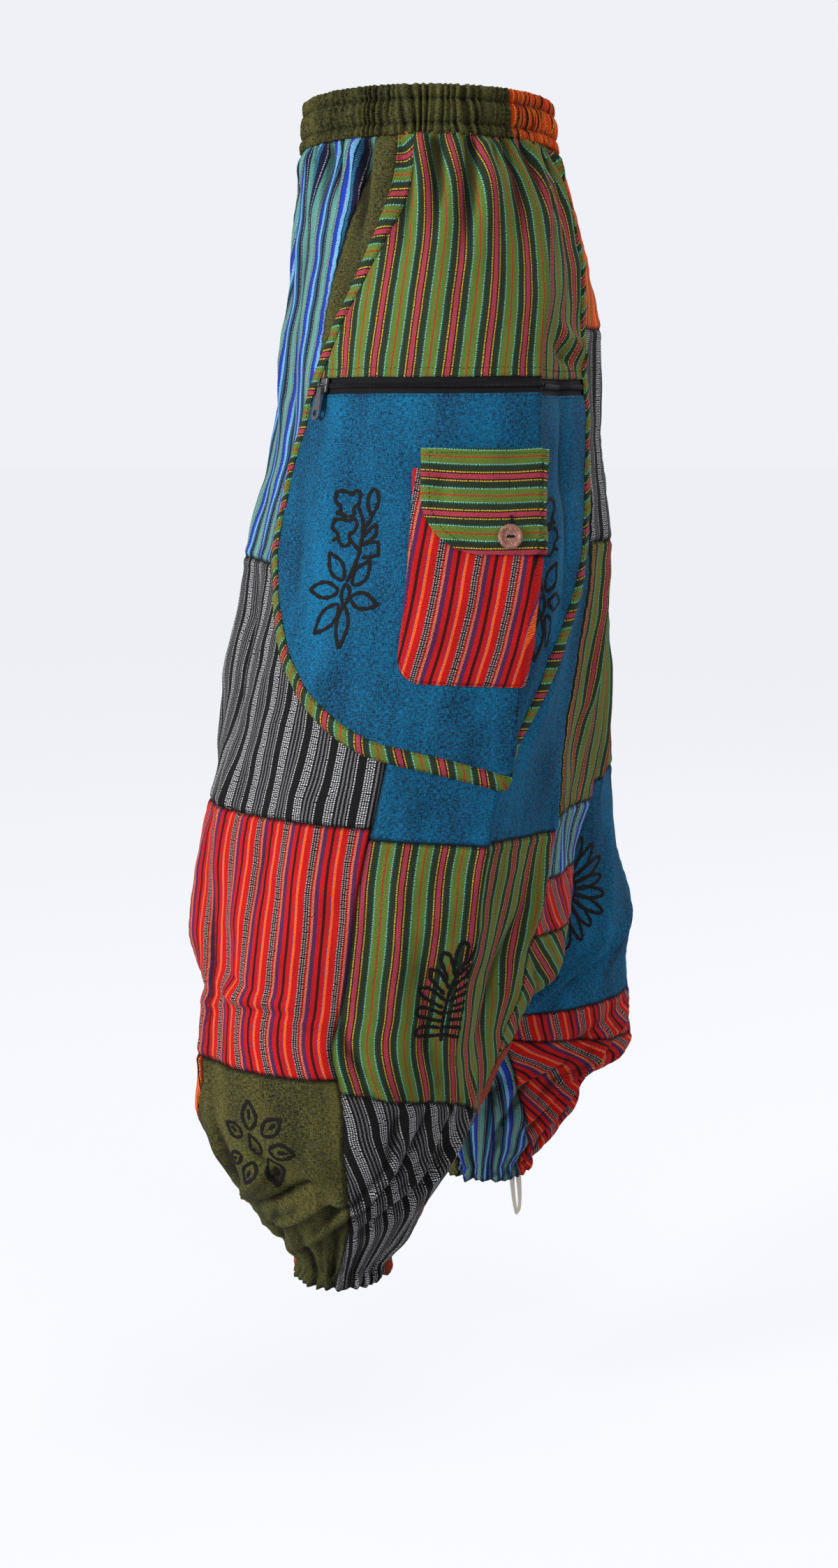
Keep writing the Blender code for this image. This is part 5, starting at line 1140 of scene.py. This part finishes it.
# The panels' binding: a bias strip of the green stripe, 24 mm wide, folded to 13 mm and sewn down all
# round the panel's edge. Its stripes run across it. It mitres at the point and stands up as a soft roll.
BINDING_WIDTH = 0.013
BINDING_CROWN = (
    (0.0, 0.0014), (0.10, 0.0036), (0.28, 0.0054), (0.55, 0.0062), (0.80, 0.0060), (0.94, 0.0054), (1.0, 0.0044),
)
for leg, prefix in ((left_leg, "left"), (right_leg, "right")):
    inner = moved_in(OUTLINE, BINDING_WIDTH)
    outer_line = np.vstack([smoothed(OUTLINE, 0, TIP, 300), smoothed(OUTLINE, TIP, OUTLINE_COUNT - 1, 220)[1:]])
    inner_line = np.vstack([smoothed(inner, 0, TIP, 300), smoothed(inner, TIP, OUTLINE_COUNT - 1, 220)[1:]])
    run = np.concatenate([[0.0], np.cumsum(np.hypot(*np.diff(outer_line, axis=0).T))])
    crown = np.array(BINDING_CROWN)
    share = crown[:, 0][:, None]
    across = outer_line[:, 0] * (1 - share) + inner_line[:, 0] * share
    drop = outer_line[:, 1] * (1 - share) + inner_line[:, 1] * share
    ripple = 0.0004 * np.sin(run * math.tau / 0.0145 + 2 * np.sin(run * 37)) * np.sin(np.pi * share)
    rise = panel_rise(drop, crown[:, 1][:, None] + ripple + 0.0002 * np.sin(run * 210))
    points = on_cloth(leg, across, drop, rise)
    weave = np.stack([
        0.86 * run + 0.55 * BINDING_WIDTH * share + 0.0015 * np.sin(run * 19), BINDING_WIDTH * share + 0 * run,
    ], axis=-1)
    name = prefix + "_panel_binding"
    mesh = cloth_mesh(name, points[::-1], weave[::-1], 0 * drop, leg.side)
    strip = finished(name + "_cloth", mesh, green_stripe, "garment", [name])
    thickened(strip)


# The zip: a black nylon coil zip 25 mm wide, with its tapes tucked under the folded edges of the two
# panel cloths so that 12 mm shows. It opens the big hip pocket from the front edge back.
TAPE_OUT = 0.0030
COIL_OUT = 0.0040
ZIP_MIDDLE = (ZIP_TOP + ZIP_FOOT) / 2
TOOTH_PITCH = 0.00125
SLIDER_ACROSS = -0.176
zip_black, zip_tree, zip_shader = blank_material("zip_black", 0.85)
zip_uv, zip_u, zip_v = uv_axes(zip_tree)
zip_rib = maths(zip_tree, "SINE", maths(zip_tree, "MULTIPLY", zip_v, math.tau / 0.0011))
zip_tint = mixed(zip_tree, maths(zip_tree, "MULTIPLY_ADD", zip_rib, 0.5, 0.5), rgb(7, 7, 8), rgb(22, 22, 24))
zip_tree.links.new(zip_tint, zip_shader.inputs["Base Color"])
thread_bump(zip_tree, zip_shader, zip_uv, zip_u, zip_v, 0.0011, 0.00025)
tape = over_crease(panel_rows(PANEL_UNDER, ZIP_TOP - 0.0045, ZIP_FOOT + 0.0045, 14), (90, 44))
panel_piece(left_leg, "left_zip_tape", zip_black, tape, TAPE_OUT, tape)
nylon, _, nylon_shader = blank_material("nylon_coil", 0.38)
nylon_shader.inputs["Base Color"].default_value = rgb(26, 26, 30)


def oriented(leg, across, drop, out, ahead_across, ahead_drop):
    """Places on the cloth with the direction that a small piece there points, and the cloth's outward direction."""
    step = 0.001
    place = on_cloth(leg, across, drop, out)
    ahead = on_cloth(leg, across + step * ahead_across, drop + step * ahead_drop, out) - place
    aside = on_cloth(leg, across - step * ahead_drop, drop + step * ahead_across, out) - place
    outward = np.cross(ahead, aside)
    outward /= np.linalg.norm(outward, axis=-1, keepdims=True)
    outward *= np.sign(
        (outward * (place - np.array([leg.side * 0.09, 0, 0]) * [1, 0, 0])).sum(axis=-1, keepdims=True) + 1e-9
    )
    return place, ahead / np.linalg.norm(ahead, axis=-1, keepdims=True), outward


def repeated(name, place, ahead, outward, size, segments, rings, finish, body):
    """The same small rounded bar at many places: a node tree instances it, turned to lie along the cloth."""
    spots = bpy.data.meshes.new(name + "_spots")
    spots.from_pydata(place.tolist(), [], [])
    for key, values in (("ahead", ahead), ("outward", outward)):
        spots.attributes.new(key, "FLOAT_VECTOR", "POINT").data.foreach_set("vector", values.astype(np.float32).ravel())
    carrier = bpy.data.objects.new(name + "_carrier", spots)
    bpy.context.scene.collection.objects.link(carrier)
    tree = bpy.data.node_groups.new(name + "_repeat", "GeometryNodeTree")
    sockets = {}
    for label, kind, direction in (
        ("Geometry", "NodeSocketGeometry", "INPUT"), ("Bar size", "NodeSocketVector", "INPUT"),
        ("Finish", "NodeSocketMaterial", "INPUT"), ("Geometry", "NodeSocketGeometry", "OUTPUT"),
    ):
        sockets[label, direction] = tree.interface.new_socket(name=label, in_out=direction, socket_type=kind)
    given = tree.nodes.new("NodeGroupInput")
    bar = add_node(tree, "GeometryNodeMeshUVSphere", {0: segments, 1: rings, 2: 0.5})
    sized = add_node(tree, "GeometryNodeTransform", {0: bar.outputs[0], "Scale": given.outputs[1]})
    towards = add_node(tree, "GeometryNodeInputNamedAttribute", {0: "outward"}, data_type="FLOAT_VECTOR")
    along = add_node(tree, "GeometryNodeInputNamedAttribute", {0: "ahead"}, data_type="FLOAT_VECTOR")
    first = add_node(tree, "FunctionNodeAlignRotationToVector", {2: towards.outputs[0]}, axis="Z")
    both = add_node(
        tree, "FunctionNodeAlignRotationToVector", {0: first.outputs[0], 2: along.outputs[0]}, axis="X", pivot_axis="Z"
    )
    copies = add_node(
        tree, "GeometryNodeInstanceOnPoints", {0: given.outputs[0], 2: sized.outputs[0], 5: both.outputs[0]}
    )
    real = add_node(tree, "GeometryNodeRealizeInstances", {0: copies.outputs[0]})
    painted = add_node(tree, "GeometryNodeSetMaterial", {0: real.outputs[0], 2: given.outputs[2]})
    taken = tree.nodes.new("NodeGroupOutput")
    tree.links.new(painted.outputs[0], taken.inputs[0])
    step = carrier.modifiers.new("Repeat", "NODES")
    step.node_group = tree
    step[sockets["Bar size", "INPUT"].identifier] = size
    step[sockets["Finish", "INPUT"].identifier] = finish
    bpy.context.view_layer.update()
    mesh = bpy.data.meshes.new_from_object(carrier.evaluated_get(bpy.context.evaluated_depsgraph_get()))
    mesh.name = name
    bpy.data.objects.remove(carrier)
    piece = finished(name, mesh, None, body)
    if not mesh.materials:
        mesh.materials.append(finish)
    return piece


coil_end = crossing(moved_in(OUTLINE, BINDING_WIDTH), ZIP_MIDDLE, TIP + 1, OUTLINE_COUNT) - 0.001
tooth_across = np.arange(SLIDER_ACROSS + 0.0046, coil_end, TOOTH_PITCH)
place, ahead, outward = oriented(left_leg, tooth_across, 0 * tooth_across + ZIP_MIDDLE, COIL_OUT, 0.24, 0.97)
coil_teeth = repeated("zip_coil_teeth", place, ahead, outward, (0.0050, 0.00085, 0.0018), 8, 6, nylon, "garment")
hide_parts("left_zip_coil")


# The patch pocket: red stripe cut 106 by 160 mm, its lower front corner rounded, sewn on the blue panel
# in front of the crease with its back edge wrapped round the crease.
POCKET = (-0.093, 0.288, 0.446, 0.020)
FLAP = (-0.086, 0.274, 0.350, 0.046)
POCKET_OUT = 0.0068
FLAP_OUT = 0.0098
WRAP_BEHIND = 0.012


def pocket_grid(left, top, bottom, corner, rows, columns):
    """Rows from a left edge with a rounded lower corner to a straight edge a little behind the crease."""
    drops = top + (bottom - top) * np.sin(np.linspace(0, np.pi / 2, rows))
    into = np.clip((drops - (bottom - corner)) / corner, 0, 1)
    edge = left + corner * (1 - np.sqrt(1 - into**2))
    share = np.linspace(0, 1, columns)[None, :]
    return edge[:, None] + (WRAP_BEHIND - edge[:, None]) * share, drops[:, None] + 0 * share


def edge_fall(across, drop, grid_of, reach):
    """1 inside a pocket or flap, and 0 at its edges."""
    left, top, bottom, corner = grid_of
    from_left = across - left
    from_foot = bottom - drop
    corner_off = np.hypot(np.minimum(across - left - corner, 0), np.minimum(bottom - corner - drop, 0))
    in_corner = (across < left + corner) & (drop > bottom - corner)
    nearest = np.where(in_corner, corner - corner_off, np.minimum(from_left, from_foot))
    nearest = np.minimum(nearest, WRAP_BEHIND - across)
    return smooth_step(nearest / reach), nearest


def pocket_surface(across, drop):
    inside, nearest = edge_fall(across, drop, POCKET, 0.0035)
    bag = smooth_step((drop - 0.30) / 0.08) * np.sin(np.pi * np.clip((across + 0.093) / 0.1, 0, 1))
    ripple = 0.0003 * np.sin(across * 160 + 3 * np.sin(drop * 30)) * np.sin(drop * 55)
    return 0.0053 + (POCKET_OUT - 0.0053 + 0.0006 * bag + ripple) * inside


across, drop = pocket_grid(*POCKET, 64, 56)
weave = turned_weave(across - 0.0008 * np.sin(drop * 50), drop, 7)
points = on_cloth(left_leg, across, drop, pocket_surface(across, drop))
pocket = finished(
    "patch_pocket_cloth", cloth_mesh("patch_pocket", points, weave, 0 * drop, 1),
    red_stripe, "garment", ["patch_pocket"],
)
thickened(pocket)


# The flap: green stripe with the stripes level, a straight back edge and one swept front corner. It is
# sewn along its top and hangs free, so its front top corner and its lower edge stand off a little.
def flap_surface(across, drop):
    inside, nearest = edge_fall(across, drop, FLAP, 0.003)
    lift = 0.0018 * smooth_step((-0.045 - across) / 0.04) * smooth_step((0.305 - drop) / 0.02)
    free = 0.0007 * smooth_step((drop - 0.285) / 0.05)
    dent = 0.0026 * np.exp(-(((across + 0.070) / 0.006) ** 2) - (((drop - 0.303) / 0.014) ** 2))
    return FLAP_OUT - 0.0006 * (1 - inside) + lift + free - dent


across, drop = pocket_grid(*FLAP, 52, 56)
weave = np.stack([(drop + 0.006) * 1.05 + 0.0191 + 0.0012 * np.sin(across * 45), across], axis=-1)
points = on_cloth(left_leg, across, drop, flap_surface(across, drop))
flap = finished(
    "pocket_flap_cloth", cloth_mesh("pocket_flap", points, weave, 0 * drop, 1), green_stripe, "garment", ["pocket_flap"]
)
thickened(flap)


# The block prints: brown-black ink stamped with carved wooden blocks before the cloth was cut. A flower
# spray on the blue panel, its mirror image behind the crease, a leafy sprig on the green calf, a
# loose-petalled flower on the olive shin, and half a sun behind the right calf.
INK_RISE = 0.00055
INK_WIDTH = 0.0030
ink, ink_tree, ink_shader = blank_material("block_ink", 0.8)
ink_noise = add_node(ink_tree, "ShaderNodeTexNoise", {"Scale": 900.0, "Detail": 2.0}).outputs[0]
ink_tree.links.new(mixed(ink_tree, ink_noise, rgb(5, 4, 5), rgb(18, 13, 13)), ink_shader.inputs["Base Color"])


def drawn(points):
    """A smooth line through a few points, in millimetres."""
    table = np.array(points, float)
    run = np.concatenate([[0.0], np.cumsum(np.hypot(*np.diff(table, axis=0).T))])
    fine = np.linspace(0, run[-1], max(8, int(run[-1] / 1.1)))
    return np.stack([through(run, table[:, i], fine) for i in range(2)], axis=1)


def petal(x, y, heading, length, width, fullness=1.0):
    """A pointed loop from its foot at (x, y); heading is in degrees from straight down, towards the front."""
    share = np.linspace(0, 1, 15)
    swell = width / 2 * np.sin(np.pi * share**0.85) ** fullness
    angle = math.radians(heading)
    down = np.array([-math.sin(angle), math.cos(angle)])
    aside = np.array([down[1], -down[0]])
    one = np.array([x, y]) + down * (share * length)[:, None] + aside * swell[:, None]
    other = np.array([x, y]) + down * (share * length)[:, None] - aside * swell[:, None]
    return drawn(np.vstack([one, other[::-1][1:]]))


def leaf_comb(x, y, heading, length, width):
    """A round-ended finger that is open where it meets its stem."""
    angle = math.radians(heading)
    down = np.array([-math.sin(angle), math.cos(angle)])
    aside = np.array([down[1], -down[0]])
    shape = [(0.0, 0.42), (0.45, 0.50), (0.82, 0.44), (1.0, 0.0), (0.82, -0.44), (0.45, -0.46), (0.05, -0.30)]
    return drawn([np.array([x, y]) + down * length * a + aside * width * b for a, b in shape])


FLOWER = [
    petal(0, -9, 178, -18, 7), petal(5, -8, 218, 24, 11), petal(5, 1, 282, 24, 12), petal(1, 8, 354, 32, 10.5),
    petal(-4, 7, 36, 30, 13), petal(-6, -3, 88, 27, 12), petal(-3, -11, 146, 24, 12),
    drawn([(0, -10), (5, -20), (10, -34), (11.5, -46), (11, -56), (8, -63), (5, -68)]),
    drawn([(11, -48), (15, -54), (19, -61)]), petal(19, -81, 4, 20, 9, 0.8),
    drawn([(-2, -59), (-8, -61), (-9, -66), (-13, -71), (-12, -77), (-6, -78), (-1, -76), (4, -79), (7, -75),
           (6, -69), (2, -66), (3, -61), (-2, -59)]),
    drawn([(-12, -60), (-9, -63)]), drawn([(10, -34), (3, -40), (-1, -44)]),
    drawn([(-4, -36), (-9, -40), (-11, -46), (-15, -50), (-13, -56), (-7, -57), (-2, -56), (3, -58), (6, -53),
           (4, -48), (0, -46), (1, -40), (-4, -36)]),
    drawn([(-15, -40), (-11, -43)]),
    drawn([(12, -44), (17, -50), (22, -54), (23, -48), (18, -42), (12, -38)]),
    drawn([(12, -38), (19, -41), (25, -41), (26, -32), (20, -30), (12, -29)]),
]
SPRIG = [
    drawn([(0, 40), (-1, 22), (0, 4), (2, -10), (4, -22)]), drawn([(3, -14), (9, -20), (14, -26)]),
    leaf_comb(4, -20, 184, 25, 9), leaf_comb(14, -24, 206, 20, 9), leaf_comb(0, -14, 156, 24, 8),
    leaf_comb(-1, -2, 138, 26, 8), leaf_comb(-1, 9, 120, 27, 8), leaf_comb(-1, 20, 104, 25, 8),
    leaf_comb(-1, 31, 88, 22, 8), leaf_comb(13, -14, 234, 17, 8), leaf_comb(3, -3, 236, 27, 8),
    leaf_comb(3, 9, 250, 27, 8), leaf_comb(1, 20, 264, 27, 8), leaf_comb(0, 31, 280, 25, 8),
]
LOOSE_FLOWER = [petal(5, 9, 158, 18, 9.5)]
for x, y, heading, length, width in (
    (-2, -11, 184, 20, 11), (9, -9, 226, 18, 11), (14, 1, 275, 19, 11), (12, 9, 334, 27, 11),
    (0, 14, 10, 15, 11), (-9, 9, 58, 13, 9), (-9, -4, 122, 16, 9),
):
    LOOSE_FLOWER.append(petal(x, y, heading, length, width))
    angle = math.radians(heading)
    reach = np.array([-math.sin(angle), math.cos(angle)])
    LOOSE_FLOWER.append(drawn([np.array([x, y]) + reach * length * s for s in (0.35, 0.55, 0.72)]))
HALF_SUN = [petal(0, -12, 0, 24, 20, 0.6), petal(0, -8, 0, 16, 13, 0.6), petal(0, -4, 0, 8, 6, 0.6)]
for k in range(12):
    heading = 182 - 17 * k
    angle = math.radians(heading)
    start = 15 * np.array([-math.sin(angle), math.cos(angle)])
    HALF_SUN.append(petal(start[0], start[1], heading, 38 + 3 * math.sin(k * 2.1), 9.5, 0.5))


def print_block(name, leg, strokes, centre, base_out, mirror=1, turn=0.0, edge=None):
    """Lays a block's lines on the cloth as thin ribbons of ink with slightly rough edges."""
    verts, faces = [], []
    cos, sin = math.cos(math.radians(turn)), math.sin(math.radians(turn))
    for number, stroke in enumerate(strokes):
        line = np.stack([
            mirror * (stroke[:, 0] * cos - stroke[:, 1] * sin), stroke[:, 0] * sin + stroke[:, 1] * cos,
        ], 1)
        line = line / 1000 + np.array(centre)
        if edge is not None:
            kept = (line[:, 0] > edge[0]) & (line[:, 0] < edge[1]) & (line[:, 1] > edge[2]) & (line[:, 1] < edge[3])
            line = line[kept]
        if len(line) < 4:
            continue
        along = np.gradient(line, axis=0)
        along /= np.maximum(np.linalg.norm(along, axis=1, keepdims=True), 1e-9)
        aside = np.stack([-along[:, 1], along[:, 0]], axis=1)
        t = np.arange(len(line))
        width = INK_WIDTH * (1 + 0.16 * np.sin(t * 0.9 + number) + 0.12 * np.sin(t * 2.3 + 2 * number))
        width *= np.minimum(1.0, 0.45 + 0.35 * np.minimum(t, len(t) - 1 - t))
        spread = np.array([-0.5, -0.2, 0.2, 0.5])
        spot = line[:, None] + aside[:, None] * (spread[None, :, None] * width[:, None, None])
        lifted = INK_RISE * np.array([0.5, 1.0, 1.0, 0.5])[None, :]
        placed = on_cloth(leg, spot[..., 0], spot[..., 1], base_out(spot[..., 0], spot[..., 1]) + lifted)
        first = len(verts)
        verts.extend(placed.reshape(-1, 3).tolist())
        for i in range(len(line) - 1):
            for j in range(3):
                quad = (first + i * 4 + j, first + i * 4 + j + 1, first + i * 4 + j + 5, first + i * 4 + j + 4)
                faces.append(quad[::-1] if leg.side * mirror < 0 else quad)
    mesh = bpy.data.meshes.new(name)
    mesh.from_pydata(verts, [], faces)
    return finished(name, mesh, ink, "garment")


def panel_base(across, drop):
    return panel_rise(drop, PANEL_OUT)


def leg_base(across, drop):
    return 0.0 * across


print_block("flower_print_front", left_leg, FLOWER, (-0.142, 0.384), panel_base)
print_block("flower_print_back", left_leg, FLOWER, (0.022, 0.388), panel_base, -1, 0.0, (0.013, 0.086, 0.25, 0.50))
print_block("sprig_print", left_leg, SPRIG, (-0.016, 0.684), leg_base)
LOOSE_FLOWER_SIZE = 1.15
print_block(
    "loose_flower_print", left_leg, [LOOSE_FLOWER_SIZE * stroke for stroke in LOOSE_FLOWER], (-0.184, 0.813), leg_base
)
print_block("half_sun_print", right_leg, HALF_SUN, (0.250, 0.653), leg_base, 1, 0.0, (0.130, 0.2555, 0.575, 0.760))
print_block("flower_print_right", right_leg, FLOWER, (-0.120, 0.384), panel_base)


# The topstitching: black cotton thread, about eight stitches to 25 mm, one row 6 mm from each patch
# seam, along both edges of the bindings, above the zip, and round the pocket and its flap.
STITCH_PITCH = 0.0032
STITCH_SIZE = (0.0025, 0.00055, 0.00045)
thread, _, thread_shader = blank_material("black_thread", 0.7)
thread_shader.inputs["Base Color"].default_value = rgb(18, 17, 20)
sewn = {"place": [], "ahead": [], "outward": []}


def stitch_row(leg, line, surface):
    """Stitches at an even pitch along a line of (across, drop) points on a surface."""
    run = np.concatenate([[0.0], np.cumsum(np.hypot(*np.diff(line, axis=0).T))])
    count = max(2, int(run[-1] / STITCH_PITCH))
    even = (np.arange(count) + 0.5) * run[-1] / count
    spot = np.stack([np.interp(even, run, line[:, i]) for i in range(2)], axis=1)
    spot[:, 1] += 0.0002 * np.sin(even * 900)
    way = np.stack([
        np.interp(even + 0.0005, run, line[:, i]) - np.interp(even - 0.0005, run, line[:, i]) for i in range(2)
    ], 1)
    way /= np.maximum(np.linalg.norm(way, axis=1, keepdims=True), 1e-9)
    out = surface(spot[:, 0], spot[:, 1]) + STITCH_SIZE[2] * 0.25
    place, ahead, outward = oriented(leg, spot[:, 0], spot[:, 1], out, way[:, 0], way[:, 1])
    for key, values in (("place", place), ("ahead", ahead), ("outward", outward)):
        sewn[key].append(values)


def sewn_piece(name, finish, size):
    rows = [np.concatenate(sewn[key]) for key in ("place", "ahead", "outward")]
    for key in sewn:
        sewn[key].clear()
    piece = repeated(name, *rows, size, 5, 4, finish, "garment")
    return piece


for leg, left, right_seam, top, bottom in PATCHES:
    if top[0] > 0.04:
        share = np.linspace(0.01, 0.99, 60)
        drop = top[0] + (top[1] - top[0]) * share + 0.0062
        start, end = seam_round(left, drop), seam_round(right_seam, drop)
        round_ = start + (end - start) * share
        stitch_row(leg, np.stack([leg.across_of(round_, drop), drop], axis=1), leg_base)
    lowest = min(bottom)
    drop = np.linspace(max(top) + 0.002, lowest - 0.002, 80)
    if float(seam_round(left, drop[0])) > 0.001:
        round_ = seam_round(left, drop) + 0.0056 / np.interp(drop, leg.drops, leg.girth)
        stitch_row(leg, np.stack([leg.across_of(round_, drop), drop], axis=1), leg_base)
sewn_piece("patch_topstitching", thread, STITCH_SIZE)

for leg in (left_leg, right_leg):
    for distance, rise in ((0.0016, 0.0040), (0.0116, 0.0056)):
        moved = moved_in(OUTLINE, distance)
        for first, last in ((0, TIP), (TIP, OUTLINE_COUNT - 1)):
            line = smoothed(moved, first, last, 200)
            stitch_row(leg, line, lambda across, drop, rise=rise: panel_rise(drop, rise))
    inner = moved_in(OUTLINE, BINDING_WIDTH)
    level = ZIP_TOP - 0.0062
    ends = crossing(inner, level, 0, TIP), crossing(inner, level, TIP + 1, OUTLINE_COUNT)
    line = np.stack([np.linspace(*ends, 120), np.full(120, level)], axis=1)
    stitch_row(leg, line, panel_base)
    if leg is left_leg:
        level = ZIP_FOOT + 0.0018
        ends = crossing(inner, level, 0, TIP), crossing(inner, level, TIP + 1, OUTLINE_COUNT)
        stitch_row(leg, np.stack([np.linspace(*ends, 120), np.full(120, level)], axis=1), panel_base)


def pocket_outline(grid_of, inset):
    left, top, bottom, corner = grid_of
    turn = np.linspace(0, np.pi / 2, 20)
    radius = corner - inset
    sweep = np.stack([left + corner - radius * np.cos(turn), bottom - corner + radius * np.sin(turn)], axis=1)
    return np.vstack([[(left + inset, top + 0.001)], sweep, [(0.002, bottom - inset)]])


stitch_row(left_leg, resampled(pocket_outline(POCKET, 0.0020), 150), pocket_surface)
flap_line = resampled(pocket_outline(FLAP, 0.0062), 120)
stitch_row(left_leg, flap_line, flap_surface)
stitch_row(left_leg, np.stack([np.linspace(-0.083, 0.002, 60), np.full(60, 0.2775)], axis=1), flap_surface)
sewn_piece("panel_topstitching", thread, STITCH_SIZE)

for row_drop in (0.0098, 0.0282):
    count = round(2 * float(left_leg.girth[0]) / 0.0026)
    turns = np.linspace(-1, 1, count, endpoint=False)
    level = np.full(count, row_drop)
    out = 0.0014 + waist_ribs(turns, level)
    place = waist_points(turns, level, out)
    ahead = waist_points(turns + 0.0005, level, out) - place
    ahead /= np.linalg.norm(ahead, axis=1, keepdims=True)
    outward = waist_points(turns, level, out + 0.001) - place
    outward /= np.linalg.norm(outward, axis=1, keepdims=True)
    for key, values in (("place", place), ("ahead", ahead), ("outward", outward)):
        sewn[key].append(values)
sewn_piece("waistband_stitching", thread, (0.0021, 0.0005, 0.0005))


# The button: turned coconut shell, 18 mm across, with two holes, sewn on with black thread through a
# worked buttonhole whose bar shows just above it.
coconut, shell_tree, shell_shader = blank_material("coconut_shell", 0.42)
grain_at = add_node(shell_tree, "ShaderNodeTexCoord", {}).outputs["Object"]
fleck = add_node(shell_tree, "ShaderNodeTexVoronoi", {"Vector": grain_at, "Scale": 620.0}).outputs[0]
patchy = add_node(shell_tree, "ShaderNodeTexNoise", {"Vector": grain_at, "Scale": 260.0, "Detail": 4.0}).outputs[0]
shell_tint = mixed(shell_tree, patchy, rgb(92, 54, 44), rgb(176, 124, 108))
pale_fleck = maths(shell_tree, "LESS_THAN", fleck, 0.22)
shell_tint = mixed(shell_tree, maths(shell_tree, "MULTIPLY", pale_fleck, 0.75), shell_tint, rgb(226, 200, 170))
shell_tree.links.new(shell_tint, shell_shader.inputs["Base Color"])
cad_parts["button"].data.materials.clear()
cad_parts["button"].data.materials.append(coconut)
button_low, button_high = (np.array(corner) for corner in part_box("button"))
BUTTON_ACROSS, BUTTON_DROP = -0.021, 0.337
place, ahead, outward = oriented(left_leg, np.array([BUTTON_ACROSS]), np.array([BUTTON_DROP]), 0.0, 1.0, 0.0)
centre = (button_low + button_high) / 2
bar_places = np.array([
    centre + outward[0] * (0.0012 + 0.00025 * (k % 2)) + np.array([0, 0, 0.0004 * (k - 1.5)]) for k in range(4)
])
bar_ahead = np.repeat(ahead, 4, axis=0)
bar_out = np.repeat(outward, 4, axis=0)
hole_places = on_cloth(
    left_leg, BUTTON_ACROSS + 0.0006 * np.sin(np.arange(7) * 2.1), BUTTON_DROP - 0.0098 - 0.00085 * np.arange(7), 0.0112
)
repeated("button_thread", bar_places, bar_ahead, bar_out, (0.0060, 0.0007, 0.0007), 8, 6, thread, "garment")
repeated(
    "buttonhole_bar", hole_places, np.repeat(ahead, 7, axis=0), np.repeat(outward, 7, axis=0), (0.0024, 0.0010, 0.0006),
    8, 6, thread, "garment",
)


# The slider and its pull: die-cast metal with a dark gunmetal plating, worn pale on the edges. The pull
# hangs from the slider's bridge and swings on it.
gunmetal, metal_tree, metal_shader = blank_material("gunmetal", 0.5, 0.0, 0.9)
wear_at = add_node(metal_tree, "ShaderNodeTexCoord", {}).outputs["Object"]
wear_noise = add_node(metal_tree, "ShaderNodeTexNoise", {"Vector": wear_at, "Scale": 800.0, "Detail": 3.0}).outputs[0]
metal_tint = mixed(metal_tree, wear_noise, rgb(66, 66, 70), rgb(134, 134, 138))
metal_tree.links.new(metal_tint, metal_shader.inputs["Base Color"])
for node in ("zip_slider", "zip_pull"):
    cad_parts[node].data.materials.clear()
    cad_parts[node].data.materials.append(gunmetal)
